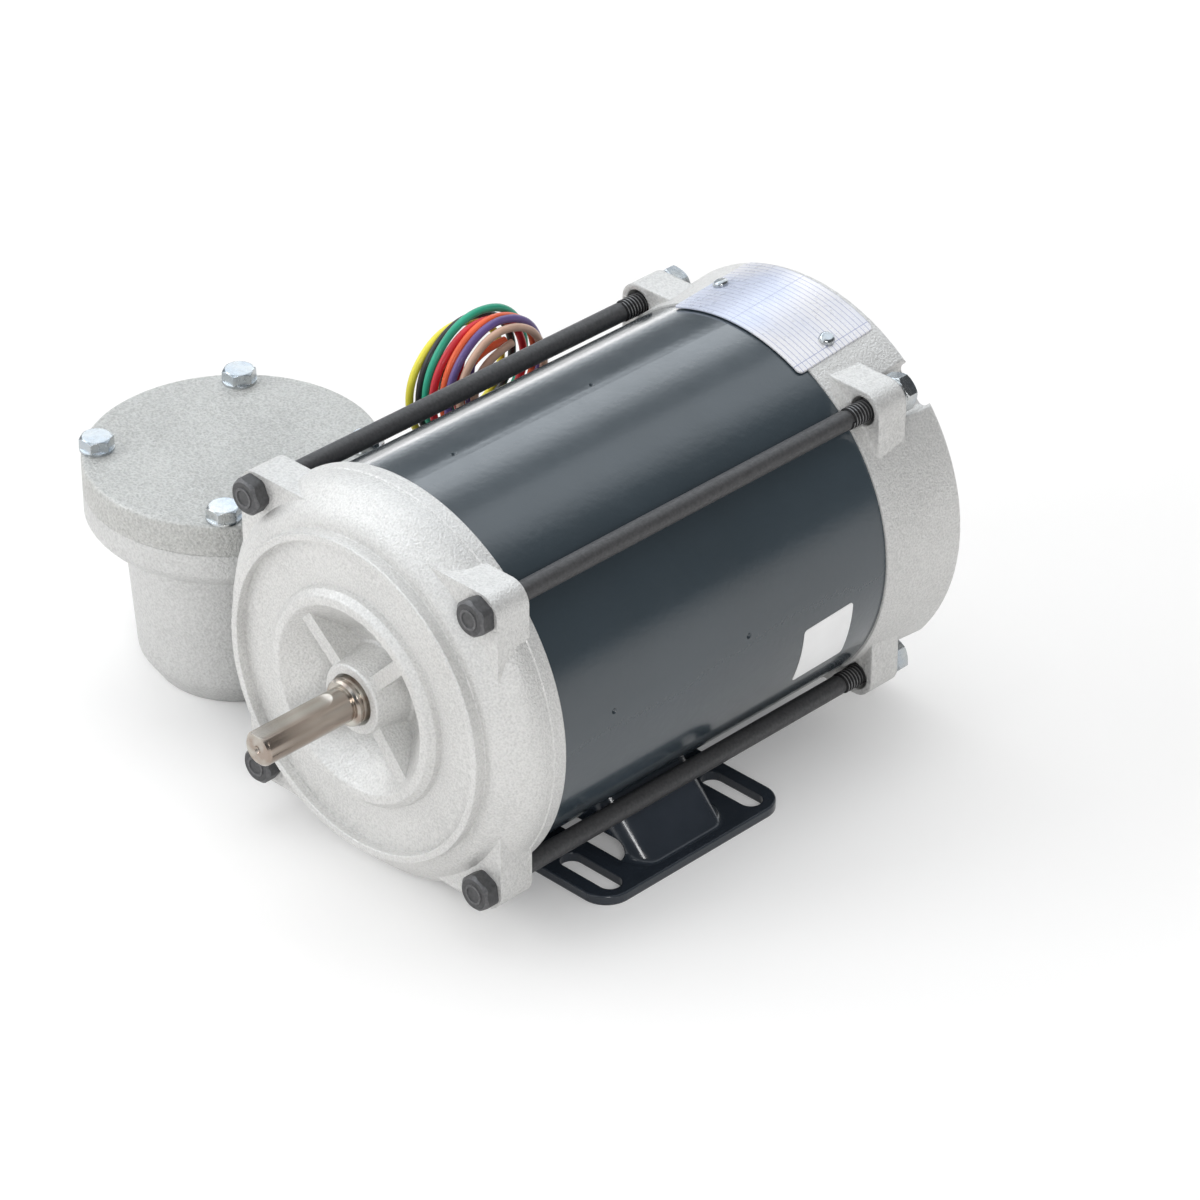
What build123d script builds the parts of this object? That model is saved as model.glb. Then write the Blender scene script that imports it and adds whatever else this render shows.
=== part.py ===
"""Explosion-proof induction motor with a face mount, a pressed foot and its loose conduit box."""

import math
import os

from build123d import *
from build123d.topology import SkipClean

# Millimetres. The shaft lies along Y with its drive end at -Y, and +Z is up. The origin is the
# middle of the four foot slots, on the face that the foot stands on.

# Painted steel shell, sized from the shaft's height and the length of the stator stack
SHAFT_HEIGHT = 76.2
FLOOR_GAP = 4.7
SHELL_WALL = 2.3
SHELL_FRONT = -67.0
SHELL_AHEAD_OF_STACK = 21.0
SHELL_BEHIND_STACK = 64.0
STACK_LENGTH = 75.0
STAKE_ANGLES = (-3.0, 87.0, 177.0, 267.0)
STAKE_INSET = 5.0
STAKE_RADIUS = 1.2
STAKE_DEPTH = 0.9

# Fits: radial clearances of pieces that seat in or on each other
PRESS_CLEARANCE = 0.02
SPIGOT_CLEARANCE = 0.05
RUNNING_CLEARANCE = 0.08
AIR_GAP = 0.35

# Both endshields and the through bolts that clamp them
BOLT_SHELL_GAP = 1.25
BOLT_DIAMETER = 7.94
BOLT_SHANK_DIAMETER = 7.2
BOLT_THREAD_LENGTH = 33.0
BOLT_TIP_BEYOND_NUT = 2.6
HEX_ACROSS_FLATS = 12.7
BOLT_HEAD_HEIGHT = 5.5
HEX_CHAMFER = 0.9
THREAD_CHAMFER = 1.0
HEAD_TURNS = (12.0, 38.0, -8.0, 21.0)
HEAD_MARK_RADIUS = 2.6
HEAD_MARK_HEIGHT = 0.3
NUT_HEIGHT = 5.6
NUT_CHAMFER = 0.8
LOCK_WASHER_RADIUS = 6.9
LOCK_WASHER_THICKNESS = 1.6
LOCK_WASHER_CLEARANCE = 0.15
LOCK_WASHER_SPLIT = 1.0
LUG_EDGE = 7.65
FRONT_LUG_THICKNESS = 14.5
REAR_LUG_THICKNESS = 13.9
SPIGOT_LENGTH = 10.0
SPIGOT_WALL = 3.2

# Front endshield: distances are ahead of the shell's front end, insets are from the shell's outside
RIM_PROUD = 3.3
RIM_BAND = 5.0
RIM_STEP = 0.4
FRONT_LUG_SETBACK = 3.6
FACE_AHEAD = 22.5
SHOULDER_INSET = 7.0
SHOULDER_DEPTH = 10.5
SHOULDER_SIDE_ROUND = 12.0
SHOULDER_FACE_ROUND = 9.0
REGISTER_INSET = 14.35
REGISTER_WALL = 2.85
REGISTER_AHEAD = 27.0
RECESS_AHEAD = 23.3
RECESS_WIDTH = 17.15
RECESS_FALL = 0.5
BEAD_AHEAD = 28.1
BEAD_WIDTH = 5.4
BEAD_CHAMFER = 2.2
BOWL_DEPTH = 13.6
BOWL_FLOOR_RADIUS = 21.0
BOWL_FLOOR_FALL = 1.5
HUB_RADIUS = 12.75
HUB_ROOT_RADIUS = 15.5
HUB_AHEAD = 26.8
HUB_MOUTH_RADIUS = 9.5
HUB_MOUTH_DEPTH = 1.5
RIB_THICKNESS = 5.5
RIB_DROP = 2.4
RIB_OVERLAP = 1.5
WALL = 6.0
WEB_THICKNESS = 2.5
FRONT_BOLT_CLEARANCE = 0.43

# Rear endshield: distances are behind the shell's rear end
REAR_ROOT_PROUD = 0.8
REAR_DRAFT = 2.9
REAR_DEPTH = 37.0
REAR_LUG_SETBACK = 5.0
REAR_EDGE_ROUND = 3.2
REAR_BOLT_CLEARANCE = 1.43
REAR_NECK_START = 2.0
REAR_NECK_LENGTH = 5.0
NUT_POCKET_WIDTH = 16.5
NUT_POCKET_CLEARANCE = 1.8
NUT_POCKET_ROUND = 3.0
NUT_POCKET_LIP_ROUND = 2.0
BACK_PANEL_INSET = 11.5
BACK_PANEL_INNER_RADIUS = 31.0
BACK_PANEL_DEPTH = 2.5
BACK_PANEL_ROUND = 2.0
SEAT_FLOOR_RELIEF = 2.5
SWITCH_POST_RADIUS = 5.0
SWITCH_SCREW_RADIUS = 2.0
SWITCH_SCREW_REACH = 10.0
SWITCH_SCREW_TAP = 12.0
SWITCH_SCREW_HEAD_HEIGHT = 2.2

# Lead hub on the rear endshield's left side
LEAD_HUB_BEHIND = 19.0
LEAD_HUB_RADIUS = 17.0
LEAD_HUB_ROUND = 1.2
LEAD_THREAD_RADIUS = 13.0
LEAD_THREAD_LENGTH = 10.0
LEAD_SEAL_PROUD = 2.5
LEAD_SEAL_LENGTH = 14.0
LEAD_SEAL_RADIUS = 9.0

# Bearings, the same size at both ends
BEARING_BORE_RADIUS = 8.5
BEARING_OUTER_RADIUS = 20.0
BEARING_WIDTH = 12.0
BEARING_INNER_RIM = 12.0
BEARING_OUTER_RIM = 16.6
BALL_PITCH_RADIUS = 14.25
BALL_RADIUS = 3.37
BALL_COUNT = 8
BALL_CLEARANCE = 0.1
CAGE_HALF_WIDTH = 4.5
CAGE_INNER_RADIUS = 13.0
CAGE_OUTER_RADIUS = 15.5
BEARING_BOSS_RADIUS = 27.0
BEARING_BOSS_ROUND = 7.0
BEARING_RELIEF_RADIUS = 15.5
BEARING_RELIEF_DEPTH = 2.0
FRONT_BEARING_AHEAD = 4.0
REAR_BEARING_BEHIND = 11.0
PRELOAD_GAP = 2.5
PRELOAD_SPRING_THICKNESS = 0.5
BEARING_CAP_THICKNESS = 4.5
BEARING_CAP_BORE = 12.8
CAP_SCREW_CIRCLE = 23.5
CAP_SCREW_RADIUS = 2.0
CAP_SCREW_HEAD_RADIUS = 3.4
CAP_SCREW_HEAD_HEIGHT = 2.2
CAP_SCREW_LENGTH = 12.0

# Shaft
SHAFT_DIAMETER = 12.7
SHAFT_EXTENSION = 38.1
SHAFT_SHOULDER_AHEAD = 30.9
SHAFT_CHAMFER = 1.0
FLAT_DEPTH = 1.2
FLAT_LENGTH = 33.0
FLAT_RUNOUT_RADIUS = 14.0
JOURNAL_GROOVE_DEPTH = 0.5
SHAFT_FRONT_COLLAR_RADIUS = 10.5
ROTOR_SEAT_RADIUS = 13.0
SHAFT_REAR_RADIUS = 10.0
SHAFT_END_PROUD = 1.0

# Stator and rotor
STATOR_YOKE = 12.2
STATOR_SLOTS = 24
SLOT_DEPTH = 14.0
SLOT_MOUTH_WIDTH = 2.2
SLOT_MOUTH_DEPTH = 2.65
SLOT_INNER_WIDTH = 3.6
SLOT_OUTER_WIDTH = 6.6
SLOT_LINER = 0.25
FRONT_OVERHANG = 18.0
REAR_OVERHANG = 20.0
END_TURN_INSET = 7.7
ROTOR_BARS = 28
BAR_INSET = 4.2
BAR_RADIUS = 2.4
END_RING_INSET = 1.5
END_RING_WIDTH = 10.0
END_RING_THICKNESS = 7.0
BLADE_COUNT = 8
BLADE_LENGTH = 8.0
BLADE_THICKNESS = 2.5
PROTECTOR_RADIUS = 8.5
PROTECTOR_HEIGHT = 8.0

# Centrifugal governor and start switch: distances are from the rotor's rear face
GOVERNOR_SLEEVE_START = 19.0
GOVERNOR_SLEEVE_LENGTH = 10.0
GOVERNOR_SLEEVE_RADIUS = 14.0
GOVERNOR_PLATE_START = 25.0
GOVERNOR_PLATE_THICKNESS = 2.5
GOVERNOR_PLATE_RADIUS = 28.0
GOVERNOR_PIVOT_BEHIND = 37.0
GOVERNOR_PIVOT_RADIUS = 24.0
GOVERNOR_PIN_RADIUS = 1.5
GOVERNOR_PIN_CLEARANCE = 0.1
GOVERNOR_EAR_THICKNESS = 3.0
GOVERNOR_EAR_HALF_HEIGHT = 3.4
WEIGHT_HALF_WIDTH = 6.0
WEIGHT_SIDE_CLEARANCE = 0.6
WEIGHT_DEPTH = 12.0
WEIGHT_INNER_RADIUS = 21.0
WEIGHT_OUTER_RADIUS = 29.0
WEIGHT_NECK = 3.5
FINGER_HALF_WIDTH = 2.5
FINGER_HALF_THICKNESS = 1.0
FINGER_TIP_RADIUS = 14.8
COLLAR_RADIUS = 13.9
COLLAR_FLANGE_RADIUS = 17.0
COLLAR_FLANGE_THICKNESS = 2.0
COLLAR_GROOVE_HALF_WIDTH = 2.0
COLLAR_NOSE = 1.0
COLLAR_LENGTH = 21.0
PUSHER_RADIUS = 20.0
ARM_GAP = 0.4
ARM_THICKNESS = 1.8
ARM_HALF_WIDTH = 5.0
ARM_TIP_RADIUS = 14.5
ARM_PIVOT_RADIUS = 38.0
ARM_KNUCKLE_RADIUS = 2.3
ARM_PIN_RADIUS = 1.2
ARM_EAR_THICKNESS = 2.0
ARM_EAR_HALF_HEIGHT = 2.5
ARM_EAR_CLEARANCE = 0.5
BOARD_GAP = 2.3
BOARD_THICKNESS = 3.0
BOARD_INNER_RADIUS = 25.0
BOARD_EDGE_GAP = 3.6
BOARD_SCREW_INSET = 10.0
BOARD_LOWER_EDGE = -12.0
TERMINAL_ANGLES = (-50.0, -25.0, 25.0, 50.0)
TERMINAL_SIZE = (6.3, 7.0, 0.8)

# Rating plate and label
PLATE_LENGTH = 37.5
PLATE_WIDTH = 61.0
PLATE_THICKNESS = 0.6
PLATE_OVERHANG = 4.5
PLATE_TURN = 2.5
PLATE_CORNER = 2.0
PLATE_SCREW_ANGLE = 20.0
PLATE_SCREW_HEAD_RADIUS = 2.9
PLATE_SCREW_HEAD_HEIGHT = 1.9
PLATE_SCREW_RADIUS = 1.3
PLATE_SCREW_LENGTH = 6.0
LABEL_LENGTH = 24.5
LABEL_WIDTH = 25.0
LABEL_THICKNESS = 0.2
LABEL_ANGLE = 105.5
LABEL_AHEAD_OF_END = 28.0
LABEL_TILT = 3.0
LABEL_CORNER = 1.5

# Pressed foot
BASE_LENGTH = 90.0
BASE_THICKNESS = 3.5
BASE_CORNER = 10.0
BASE_EDGE_ROUND = 0.7
SLOT_HALF_SPACING_X = 53.975
SLOT_HALF_SPACING_Y = 34.925
FOOT_SLOT_LENGTH = 27.0
FOOT_SLOT_WIDTH = 8.73
FOOT_SLOT_MARGIN = 4.0
SADDLE_LENGTH = 43.0
SADDLE_BOLT_GAP = 0.41
SADDLE_MARGIN = 5.0
SADDLE_ROUND = 8.0
SADDLE_FOOT_ROUND = 3.0
SADDLE_ARCH_INSET = 9.5
SADDLE_ARCH_HEIGHT = 9.5
SADDLE_ARCH_ROUND = 6.0
WINDOW_MARGIN = 1.8

# Conduit box, which stands loose beside the motor
BOX_GAP = 10.7
BOX_Y = -25.0
BOX_HEIGHT = 88.5
COVER_RADIUS = 53.8
COVER_THICKNESS = 12.4
COVER_EDGE_ROUND = 1.4
COVER_SPIGOT_LENGTH = 4.0
BOX_FLANGE_THICKNESS = 9.0
BOX_NECK_HEIGHT = 6.8
BOX_TOP_RADIUS = 40.3
BOX_LOW_RADIUS = 37.2
BOX_LOW_HEIGHT = 10.0
BOX_BASE_RADIUS = 30.5
BOX_WALL = 5.0
BOX_FLOOR = 9.0
COVER_BOLT_HALF_SPACING = 34.0
COVER_BOLT_RADIUS = 3.15
COVER_BOLT_CLEARANCE = 0.3
COVER_BOLT_LENGTH = 22.0
COVER_HEX_ACROSS_FLATS = 11.1
COVER_HEAD_HEIGHT = 4.3
COVER_HEX_CHAMFER = 0.8
COVER_WASHER_RADIUS = 6.4
COVER_WASHER_THICKNESS = 1.0
MOTOR_ENTRY_RADIUS = 12.9
SUPPLY_ENTRY_RADIUS = 10.2
SUPPLY_HUB_RADIUS = 15.5
SUPPLY_HUB_HEIGHT = 34.0
SUPPLY_HUB_REACH = 45.0
GROUND_SCREW_RADIUS = 2.4
GROUND_SCREW_HEAD_RADIUS = 4.5
GROUND_SCREW_HEAD_HEIGHT = 2.5
GROUND_SCREW_LENGTH = 6.0
GROUND_SCREW_OFFSET = 22.0

# Leads: each one's route, from the middle of the lead hub's seal
LEAD_DIAMETER = 3.0
LEAD_ROUTES = {
    "lead_tan": [
        (0, -4.2, 0), (-10, -4.2, 0), (-18, -12.5, 0), (-18, -29, -5.2), (-18, -49, -7.2),
        (-18, -66, 6.8), (-18, -67, 28.8), (-18, -50, 42.8), (-18, -29, 36.8), (-18, -22, 17.8),
        (-18, -33, 2.8), (-18, -52, 2.8), (-18, -61, 16.8), (-18, -55, 31.8), (-18, -40, 33.8),
    ],
    "lead_purple": [
        (0, -2.1, 3.6), (-11, -2.1, 3.6), (-21.5, -13, 3.6), (-21.5, -29, -3.2), (-21.5, -50, -8.2),
        (-21.5, -69, 4.8), (-21.5, -69, 28.8), (-21.5, -50, 44.8), (-21.5, -28, 38.8), (-21.5, -20, 18.8),
        (-21.5, -31, 1.8), (-21.5, -51, 1.8), (-21.5, -61, 14.8), (-21.5, -57, 30.8),
    ],
    "lead_orange": [
        (0, -2.1, -3.6), (-13, -2.1, -3.6), (-25, -14.5, -3.6), (-25, -32, -9.2), (-25, -53, -7.2),
        (-25, -69, 7.8), (-25, -67, 30.8), (-25, -48, 44.8), (-25, -26, 36.8), (-25, -20, 15.8),
        (-25, -33, -0.2), (-25, -52, 2.8), (-25, -60, 17.8), (-25, -52, 31.8), (-25, -37, 30.8),
    ],
    "lead_red": [
        (0, 0, 0), (-15, 0, 0), (-28.5, -14, 0), (-28.5, -31, -7.2), (-28.5, -52, -10.2),
        (-28.5, -70, 3.8), (-28.5, -70, 27.8), (-28.5, -51, 42.8), (-28.5, -29, 35.8), (-28.5, -22, 15.8),
        (-28.5, -33, -0.2), (-28.5, -52, 0.8), (-28.5, -61, 14.8), (-28.5, -55, 29.8),
    ],
    "lead_green": [
        (0, 2.1, 3.6), (-16, 2.1, 3.6), (-32, -13.5, 3.6), (-32, -28, -5.2), (-32, -49, -11.2),
        (-32, -69, 1.8), (-32, -71, 25.8), (-32, -53, 43.8), (-32, -29, 40.8), (-32, -18, 20.8),
        (-32, -27, 0.8), (-32, -47, -2.2), (-32, -60, 10.8), (-32, -58, 28.8), (-32, -42, 34.8),
    ],
    "lead_black": [
        (0, 2.1, -3.6), (-18, 2.1, -3.6), (-35.5, -15, -3.6), (-35.5, -33, -10.2), (-35.5, -55, -10.2),
        (-35.5, -71, 4.8), (-35.5, -69, 27.8), (-35.5, -50, 41.8), (-35.5, -28, 34.8), (-35.5, -21, 14.8),
        (-35.5, -33, -1.2), (-35.5, -52, 0.8), (-35.5, -61, 14.8), (-35.5, -54, 29.8),
    ],
    "lead_yellow": [
        (0, 4.2, 0), (-20, 4.2, 0), (-39, -14, 0), (-39, -30, -9.2), (-39, -51, -14.2),
        (-39, -70, -1.2), (-39, -73, 21.8), (-39, -56, 37.8), (-39, -33, 33.8), (-39, -23, 14.8),
        (-39, -33, -2.2), (-39, -52, -1.2), (-39, -62, 12.8), (-39, -55, 26.8),
    ],
}

# Worked-out places
SHELL_R = SHAFT_HEIGHT - FLOOR_GAP
SHELL_INNER_R = SHELL_R - SHELL_WALL
STACK_FRONT = SHELL_FRONT + SHELL_AHEAD_OF_STACK
STACK_REAR = STACK_FRONT + STACK_LENGTH
SHELL_REAR = STACK_REAR + SHELL_BEHIND_STACK
SPIGOT_R = SHELL_INNER_R - SPIGOT_CLEARANCE
SPIGOT_INNER_R = SPIGOT_R - SPIGOT_WALL
RIM_R = SHELL_R + RIM_PROUD
BOLT_CIRCLE_R = SHELL_R + BOLT_SHELL_GAP + BOLT_DIAMETER / 2
LUG_HALF_WIDTH = BOLT_CIRCLE_R / math.sqrt(2) + LUG_EDGE
CORNERS = (45, 135, 225, 315)
HEX_CORNER_R = HEX_ACROSS_FLATS / math.sqrt(3)
FACE_Y = SHELL_FRONT - FACE_AHEAD
FRONT_LUG_REAR = SHELL_FRONT - FRONT_LUG_SETBACK
FRONT_LUG_FACE = FRONT_LUG_REAR - FRONT_LUG_THICKNESS
REGISTER_R = SHELL_R - REGISTER_INSET
BEAD_OUTER_R = REGISTER_R - RECESS_WIDTH
BOWL_R = BEAD_OUTER_R - BEAD_WIDTH
HUB_Y = SHELL_FRONT - HUB_AHEAD
BOWL_RIM_Y = SHELL_FRONT - BEAD_AHEAD
BOWL_FLOOR_Y = BOWL_RIM_Y + BOWL_DEPTH
REAR_END = SHELL_REAR + REAR_DEPTH
REAR_LUG_FACE = SHELL_REAR + REAR_LUG_SETBACK
REAR_LUG_REAR = REAR_LUG_FACE + REAR_LUG_THICKNESS
REAR_ROOT_R = SHELL_R + REAR_ROOT_PROUD
REAR_END_R = REAR_ROOT_R + REAR_DRAFT
NUT_POCKET_FLOOR_R = BOLT_CIRCLE_R - HEX_CORNER_R - NUT_POCKET_CLEARANCE
REAR_INNER_R = NUT_POCKET_FLOOR_R - WALL
BACK_PANEL_Y = REAR_END - BACK_PANEL_DEPTH
REAR_INNER_Y = BACK_PANEL_Y - WALL
REAR_SLOPE = REAR_DRAFT / REAR_DEPTH
LEAD_HUB_Y = SHELL_REAR + LEAD_HUB_BEHIND
LEAD_SEAL_FACE = SHELL_R + LEAD_SEAL_PROUD
LEAD_SEAL_INNER = LEAD_SEAL_FACE - LEAD_SEAL_LENGTH
LEAD_HUB_REACH = LEAD_SEAL_FACE + LEAD_THREAD_LENGTH
FRONT_BEARING_Y = SHELL_FRONT - FRONT_BEARING_AHEAD
FRONT_BEARING_REAR = FRONT_BEARING_Y + BEARING_WIDTH
REAR_BEARING_Y = SHELL_REAR + REAR_BEARING_BEHIND
REAR_BEARING_REAR = REAR_BEARING_Y + BEARING_WIDTH
BEARING_SEAT_R = BEARING_OUTER_RADIUS + PRESS_CLEARANCE
JOURNAL_R = BEARING_BORE_RADIUS
HUB_BORE_R = JOURNAL_R + RUNNING_CLEARANCE
SHAFT_SHOULDER = SHELL_FRONT - SHAFT_SHOULDER_AHEAD
SHAFT_TIP = SHAFT_SHOULDER - SHAFT_EXTENSION
SHAFT_REAR_END = REAR_BEARING_REAR + SHAFT_END_PROUD
SLOT_OUTER_R = SHELL_INNER_R - STATOR_YOKE
SLOT_INNER_R = SLOT_OUTER_R - SLOT_DEPTH
STATOR_BORE_R = SLOT_INNER_R - SLOT_MOUTH_DEPTH
END_TURN_OUTER_R = SHELL_INNER_R - END_TURN_INSET
ROTOR_R = STATOR_BORE_R - AIR_GAP
BAR_CIRCLE_R = ROTOR_R - BAR_INSET
END_RING_OUTER_R = ROTOR_R - END_RING_INSET
END_RING_INNER_R = END_RING_OUTER_R - END_RING_WIDTH
PIVOT_Y = STACK_REAR + GOVERNOR_PIVOT_BEHIND
COLLAR_FRONT = PIVOT_Y - COLLAR_GROOVE_HALF_WIDTH - COLLAR_FLANGE_THICKNESS - COLLAR_NOSE
COLLAR_REAR = COLLAR_FRONT + COLLAR_LENGTH
ARM_FACE = COLLAR_REAR + ARM_GAP
BOARD_FACE = ARM_FACE + ARM_THICKNESS + BOARD_GAP
BOARD_REAR = BOARD_FACE + BOARD_THICKNESS
ARM_PIVOT_Y = BOARD_FACE - ARM_KNUCKLE_RADIUS - ARM_EAR_CLEARANCE
BOARD_OUTER_R = REAR_INNER_R - BOARD_EDGE_GAP
SWITCH_POST_OFFSET = BOARD_OUTER_R - BOARD_SCREW_INSET
SADDLE_REACH = SHAFT_HEIGHT - math.sqrt(2) * (BOLT_DIAMETER / 2 + SADDLE_BOLT_GAP)
SADDLE_FOOT_X = SADDLE_REACH - BASE_THICKNESS
SLOTS_REACH = SLOT_HALF_SPACING_X + FOOT_SLOT_LENGTH / 2
BASE_HALF_WIDTH = max(SADDLE_FOOT_X + SADDLE_MARGIN, SLOTS_REACH + FOOT_SLOT_MARGIN)
BOX_X = -(SHELL_R + BOX_GAP + COVER_RADIUS)
COVER_UNDERSIDE = BOX_HEIGHT - COVER_THICKNESS
BOX_NECK_TOP = COVER_UNDERSIDE - BOX_FLANGE_THICKNESS

LENGTHWISE = Plane(origin=(0, 0, 0), x_dir=(0, 1, 0), z_dir=(1, 0, 0))
UPRIGHT = Plane(origin=(0, 0, 0), x_dir=(1, 0, 0), z_dir=(0, -1, 0))


# Ways of making solids

def rounded_face(points, rounds):
    """A closed outline whose corners, by their place in the list, get the radii in rounds."""
    outline = make_face(Polyline(*points, close=True))
    for index, radius in rounds.items():
        corner = outline.vertices().sort_by_distance(points[index])[0]
        outline = fillet(corner, radius)
    return outline


def turned(points, rounds={}):
    """A turned solid about the Y axis, from (y, radius) points."""
    return revolve(LENGTHWISE * rounded_face(points, rounds), Axis.Y)


def turned_upright(points, rounds={}):
    """A turned solid about the Z axis, from (radius, z) points."""
    return revolve(UPRIGHT * rounded_face(points, rounds), Axis.Z)


def rod(radius, front, rear):
    """A round bar about the Y axis."""
    return turned([(front, 0), (front, radius), (rear, radius), (rear, 0)])


def ring(inner, outer, front, rear):
    """A plain ring about the Y axis."""
    return turned([(front, inner), (front, outer), (rear, outer), (rear, inner)])


def crosswise(sketch, front, rear):
    """A sketch as seen from the drive end, in x and z, made solid from front to rear."""
    return extrude(Plane(origin=(0, rear, 0), x_dir=(1, 0, 0), z_dir=(0, -1, 0)) * sketch, rear - front)


def block(x_half, y_range, z_range):
    """A block centred on X = 0, between two Y and two Z places."""
    size = (2 * x_half, y_range[1] - y_range[0], z_range[1] - z_range[0])
    return Pos(0, sum(y_range) / 2, sum(z_range) / 2) * Box(*size)


def cross_pin(radius, x_half, y, z):
    """A round pin along X."""
    return Pos(0, y, z) * Rot(0, 90, 0) * Cylinder(radius, 2 * x_half)


def around(angles, shape):
    """Copies of a shape turned about the shaft axis; 0 is the top and 90 the right-hand side."""
    return [Rot(0, angle, 0) * shape for angle in angles]


def at_bolt_circle(shape):
    """A copy of a shape on each through bolt's axis."""
    return around(CORNERS, Pos(0, 0, BOLT_CIRCLE_R) * shape)


def hexagon(across_flats):
    return RegularPolygon(across_flats / 2, 6, major_radius=False)


# Housing

def frame_shell():
    tube = ring(SHELL_INNER_R, SHELL_R, SHELL_FRONT, SHELL_REAR)
    stake = Cone(STAKE_RADIUS / 4, STAKE_RADIUS, STAKE_DEPTH)
    for station in (STACK_FRONT + STAKE_INSET, STACK_REAR - STAKE_INSET):
        tube -= around(STAKE_ANGLES, Pos(0, station, SHELL_R - STAKE_DEPTH / 2 + 0.05) * stake)
    return tube


def corner_lugs(front, rear):
    """Four lugs: the corners of a rounded square that stand out of the endshield's round wall."""
    square = RectangleRounded(2 * LUG_HALF_WIDTH, 2 * LUG_HALF_WIDTH, LUG_EDGE)
    return crosswise(square, front, rear) - rod(SPIGOT_INNER_R + 1, front - 1, rear + 1)


def front_endshield():
    recess_y = SHELL_FRONT - RECESS_AHEAD
    register_y = SHELL_FRONT - REGISTER_AHEAD
    band_y = SHELL_FRONT - RIM_BAND
    shoulder_y = FACE_Y + SHOULDER_DEPTH
    side_radius = RIM_R - RIM_STEP
    register_outer = REGISTER_R + REGISTER_WALL
    inside_y = FACE_Y + WALL - BEARING_BOSS_ROUND / 7
    web_y = BOWL_FLOOR_Y + WEB_THICKNESS
    section = [
        (SHELL_FRONT, RIM_R), (band_y, RIM_R), (band_y - RIM_STEP, side_radius),
        (shoulder_y, side_radius), (FACE_Y, SHELL_R - SHOULDER_INSET), (FACE_Y, register_outer),
        (register_y, register_outer), (register_y, REGISTER_R), (recess_y, REGISTER_R),
        (recess_y - RECESS_FALL, BEAD_OUTER_R + RECESS_FALL), (BOWL_RIM_Y + BEAD_CHAMFER, BEAD_OUTER_R),
        (BOWL_RIM_Y, BEAD_OUTER_R - BEAD_CHAMFER), (BOWL_RIM_Y, BOWL_R),
        (BOWL_FLOOR_Y, BOWL_FLOOR_RADIUS), (BOWL_FLOOR_Y + BOWL_FLOOR_FALL, HUB_ROOT_RADIUS),
        (HUB_Y, HUB_RADIUS), (HUB_Y, HUB_MOUTH_RADIUS), (HUB_Y + HUB_MOUTH_DEPTH, HUB_BORE_R),
        (FRONT_BEARING_Y - BEARING_RELIEF_DEPTH, HUB_BORE_R),
        (FRONT_BEARING_Y - BEARING_RELIEF_DEPTH, BEARING_RELIEF_RADIUS),
        (FRONT_BEARING_Y, BEARING_RELIEF_RADIUS), (FRONT_BEARING_Y, BEARING_SEAT_R),
        (FRONT_BEARING_REAR, BEARING_SEAT_R), (FRONT_BEARING_REAR, BEARING_BOSS_RADIUS),
        (web_y, BEARING_BOSS_RADIUS), (inside_y, BEARING_BOSS_RADIUS + BEAD_WIDTH),
        (inside_y, SPIGOT_INNER_R), (SHELL_FRONT + SPIGOT_LENGTH, SPIGOT_INNER_R),
        (SHELL_FRONT + SPIGOT_LENGTH, SPIGOT_R), (SHELL_FRONT, SPIGOT_R),
    ]
    rounds = {
        3: SHOULDER_SIDE_ROUND, 4: SHOULDER_FACE_ROUND, 5: 0.4, 6: 0.5, 7: 0.4, 11: 0.7, 12: 0.8,
        13: 3, 14: 1.2, 15: 1, 26: BEARING_BOSS_ROUND,
    }
    body = turned(section, rounds)
    rib_root = HUB_RADIUS - RIB_OVERLAP
    rib_end = BOWL_R - RIB_OVERLAP
    rib = make_face(Polyline(
        (HUB_Y + RIB_DROP, rib_root), (BOWL_RIM_Y + RIB_DROP, rib_end),
        (FACE_Y + WALL / 2, rib_end), (BOWL_FLOOR_Y + RIB_OVERLAP, BOWL_FLOOR_RADIUS + RIB_OVERLAP),
        (BOWL_FLOOR_Y + RIB_OVERLAP, rib_root), close=True))
    body += around(CORNERS, extrude(LENGTHWISE * rib, RIB_THICKNESS / 2, both=True))
    body += corner_lugs(FRONT_LUG_FACE, FRONT_LUG_REAR)
    bolt_hole = rod(BOLT_DIAMETER / 2 + FRONT_BOLT_CLEARANCE, FACE_Y, SHELL_FRONT + 1)
    body -= at_bolt_circle(bolt_hole)
    screw_hole = rod(CAP_SCREW_RADIUS, FRONT_BEARING_REAR - CAP_SCREW_LENGTH, FRONT_BEARING_REAR)
    body -= cap_screw_sites(screw_hole)
    return body


def nut_pocket():
    """The notch in the rear skirt that a nut and its spanner reach through."""
    height = 2 * (REAR_END_R - NUT_POCKET_FLOOR_R)
    middle = NUT_POCKET_FLOOR_R + height / 2
    notch = Pos(0, middle) * RectangleRounded(NUT_POCKET_WIDTH, height, NUT_POCKET_ROUND)
    skirt = Circle(REAR_END_R) - notch
    lips = skirt.vertices().sort_by(Axis.Y)[-2:]
    skirt = fillet(lips, NUT_POCKET_LIP_ROUND)
    reach = Pos(0, middle) * Rectangle(NUT_POCKET_WIDTH + 3 * NUT_POCKET_LIP_ROUND, height)
    return crosswise(reach - skirt, REAR_LUG_REAR, REAR_END + 1)


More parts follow.
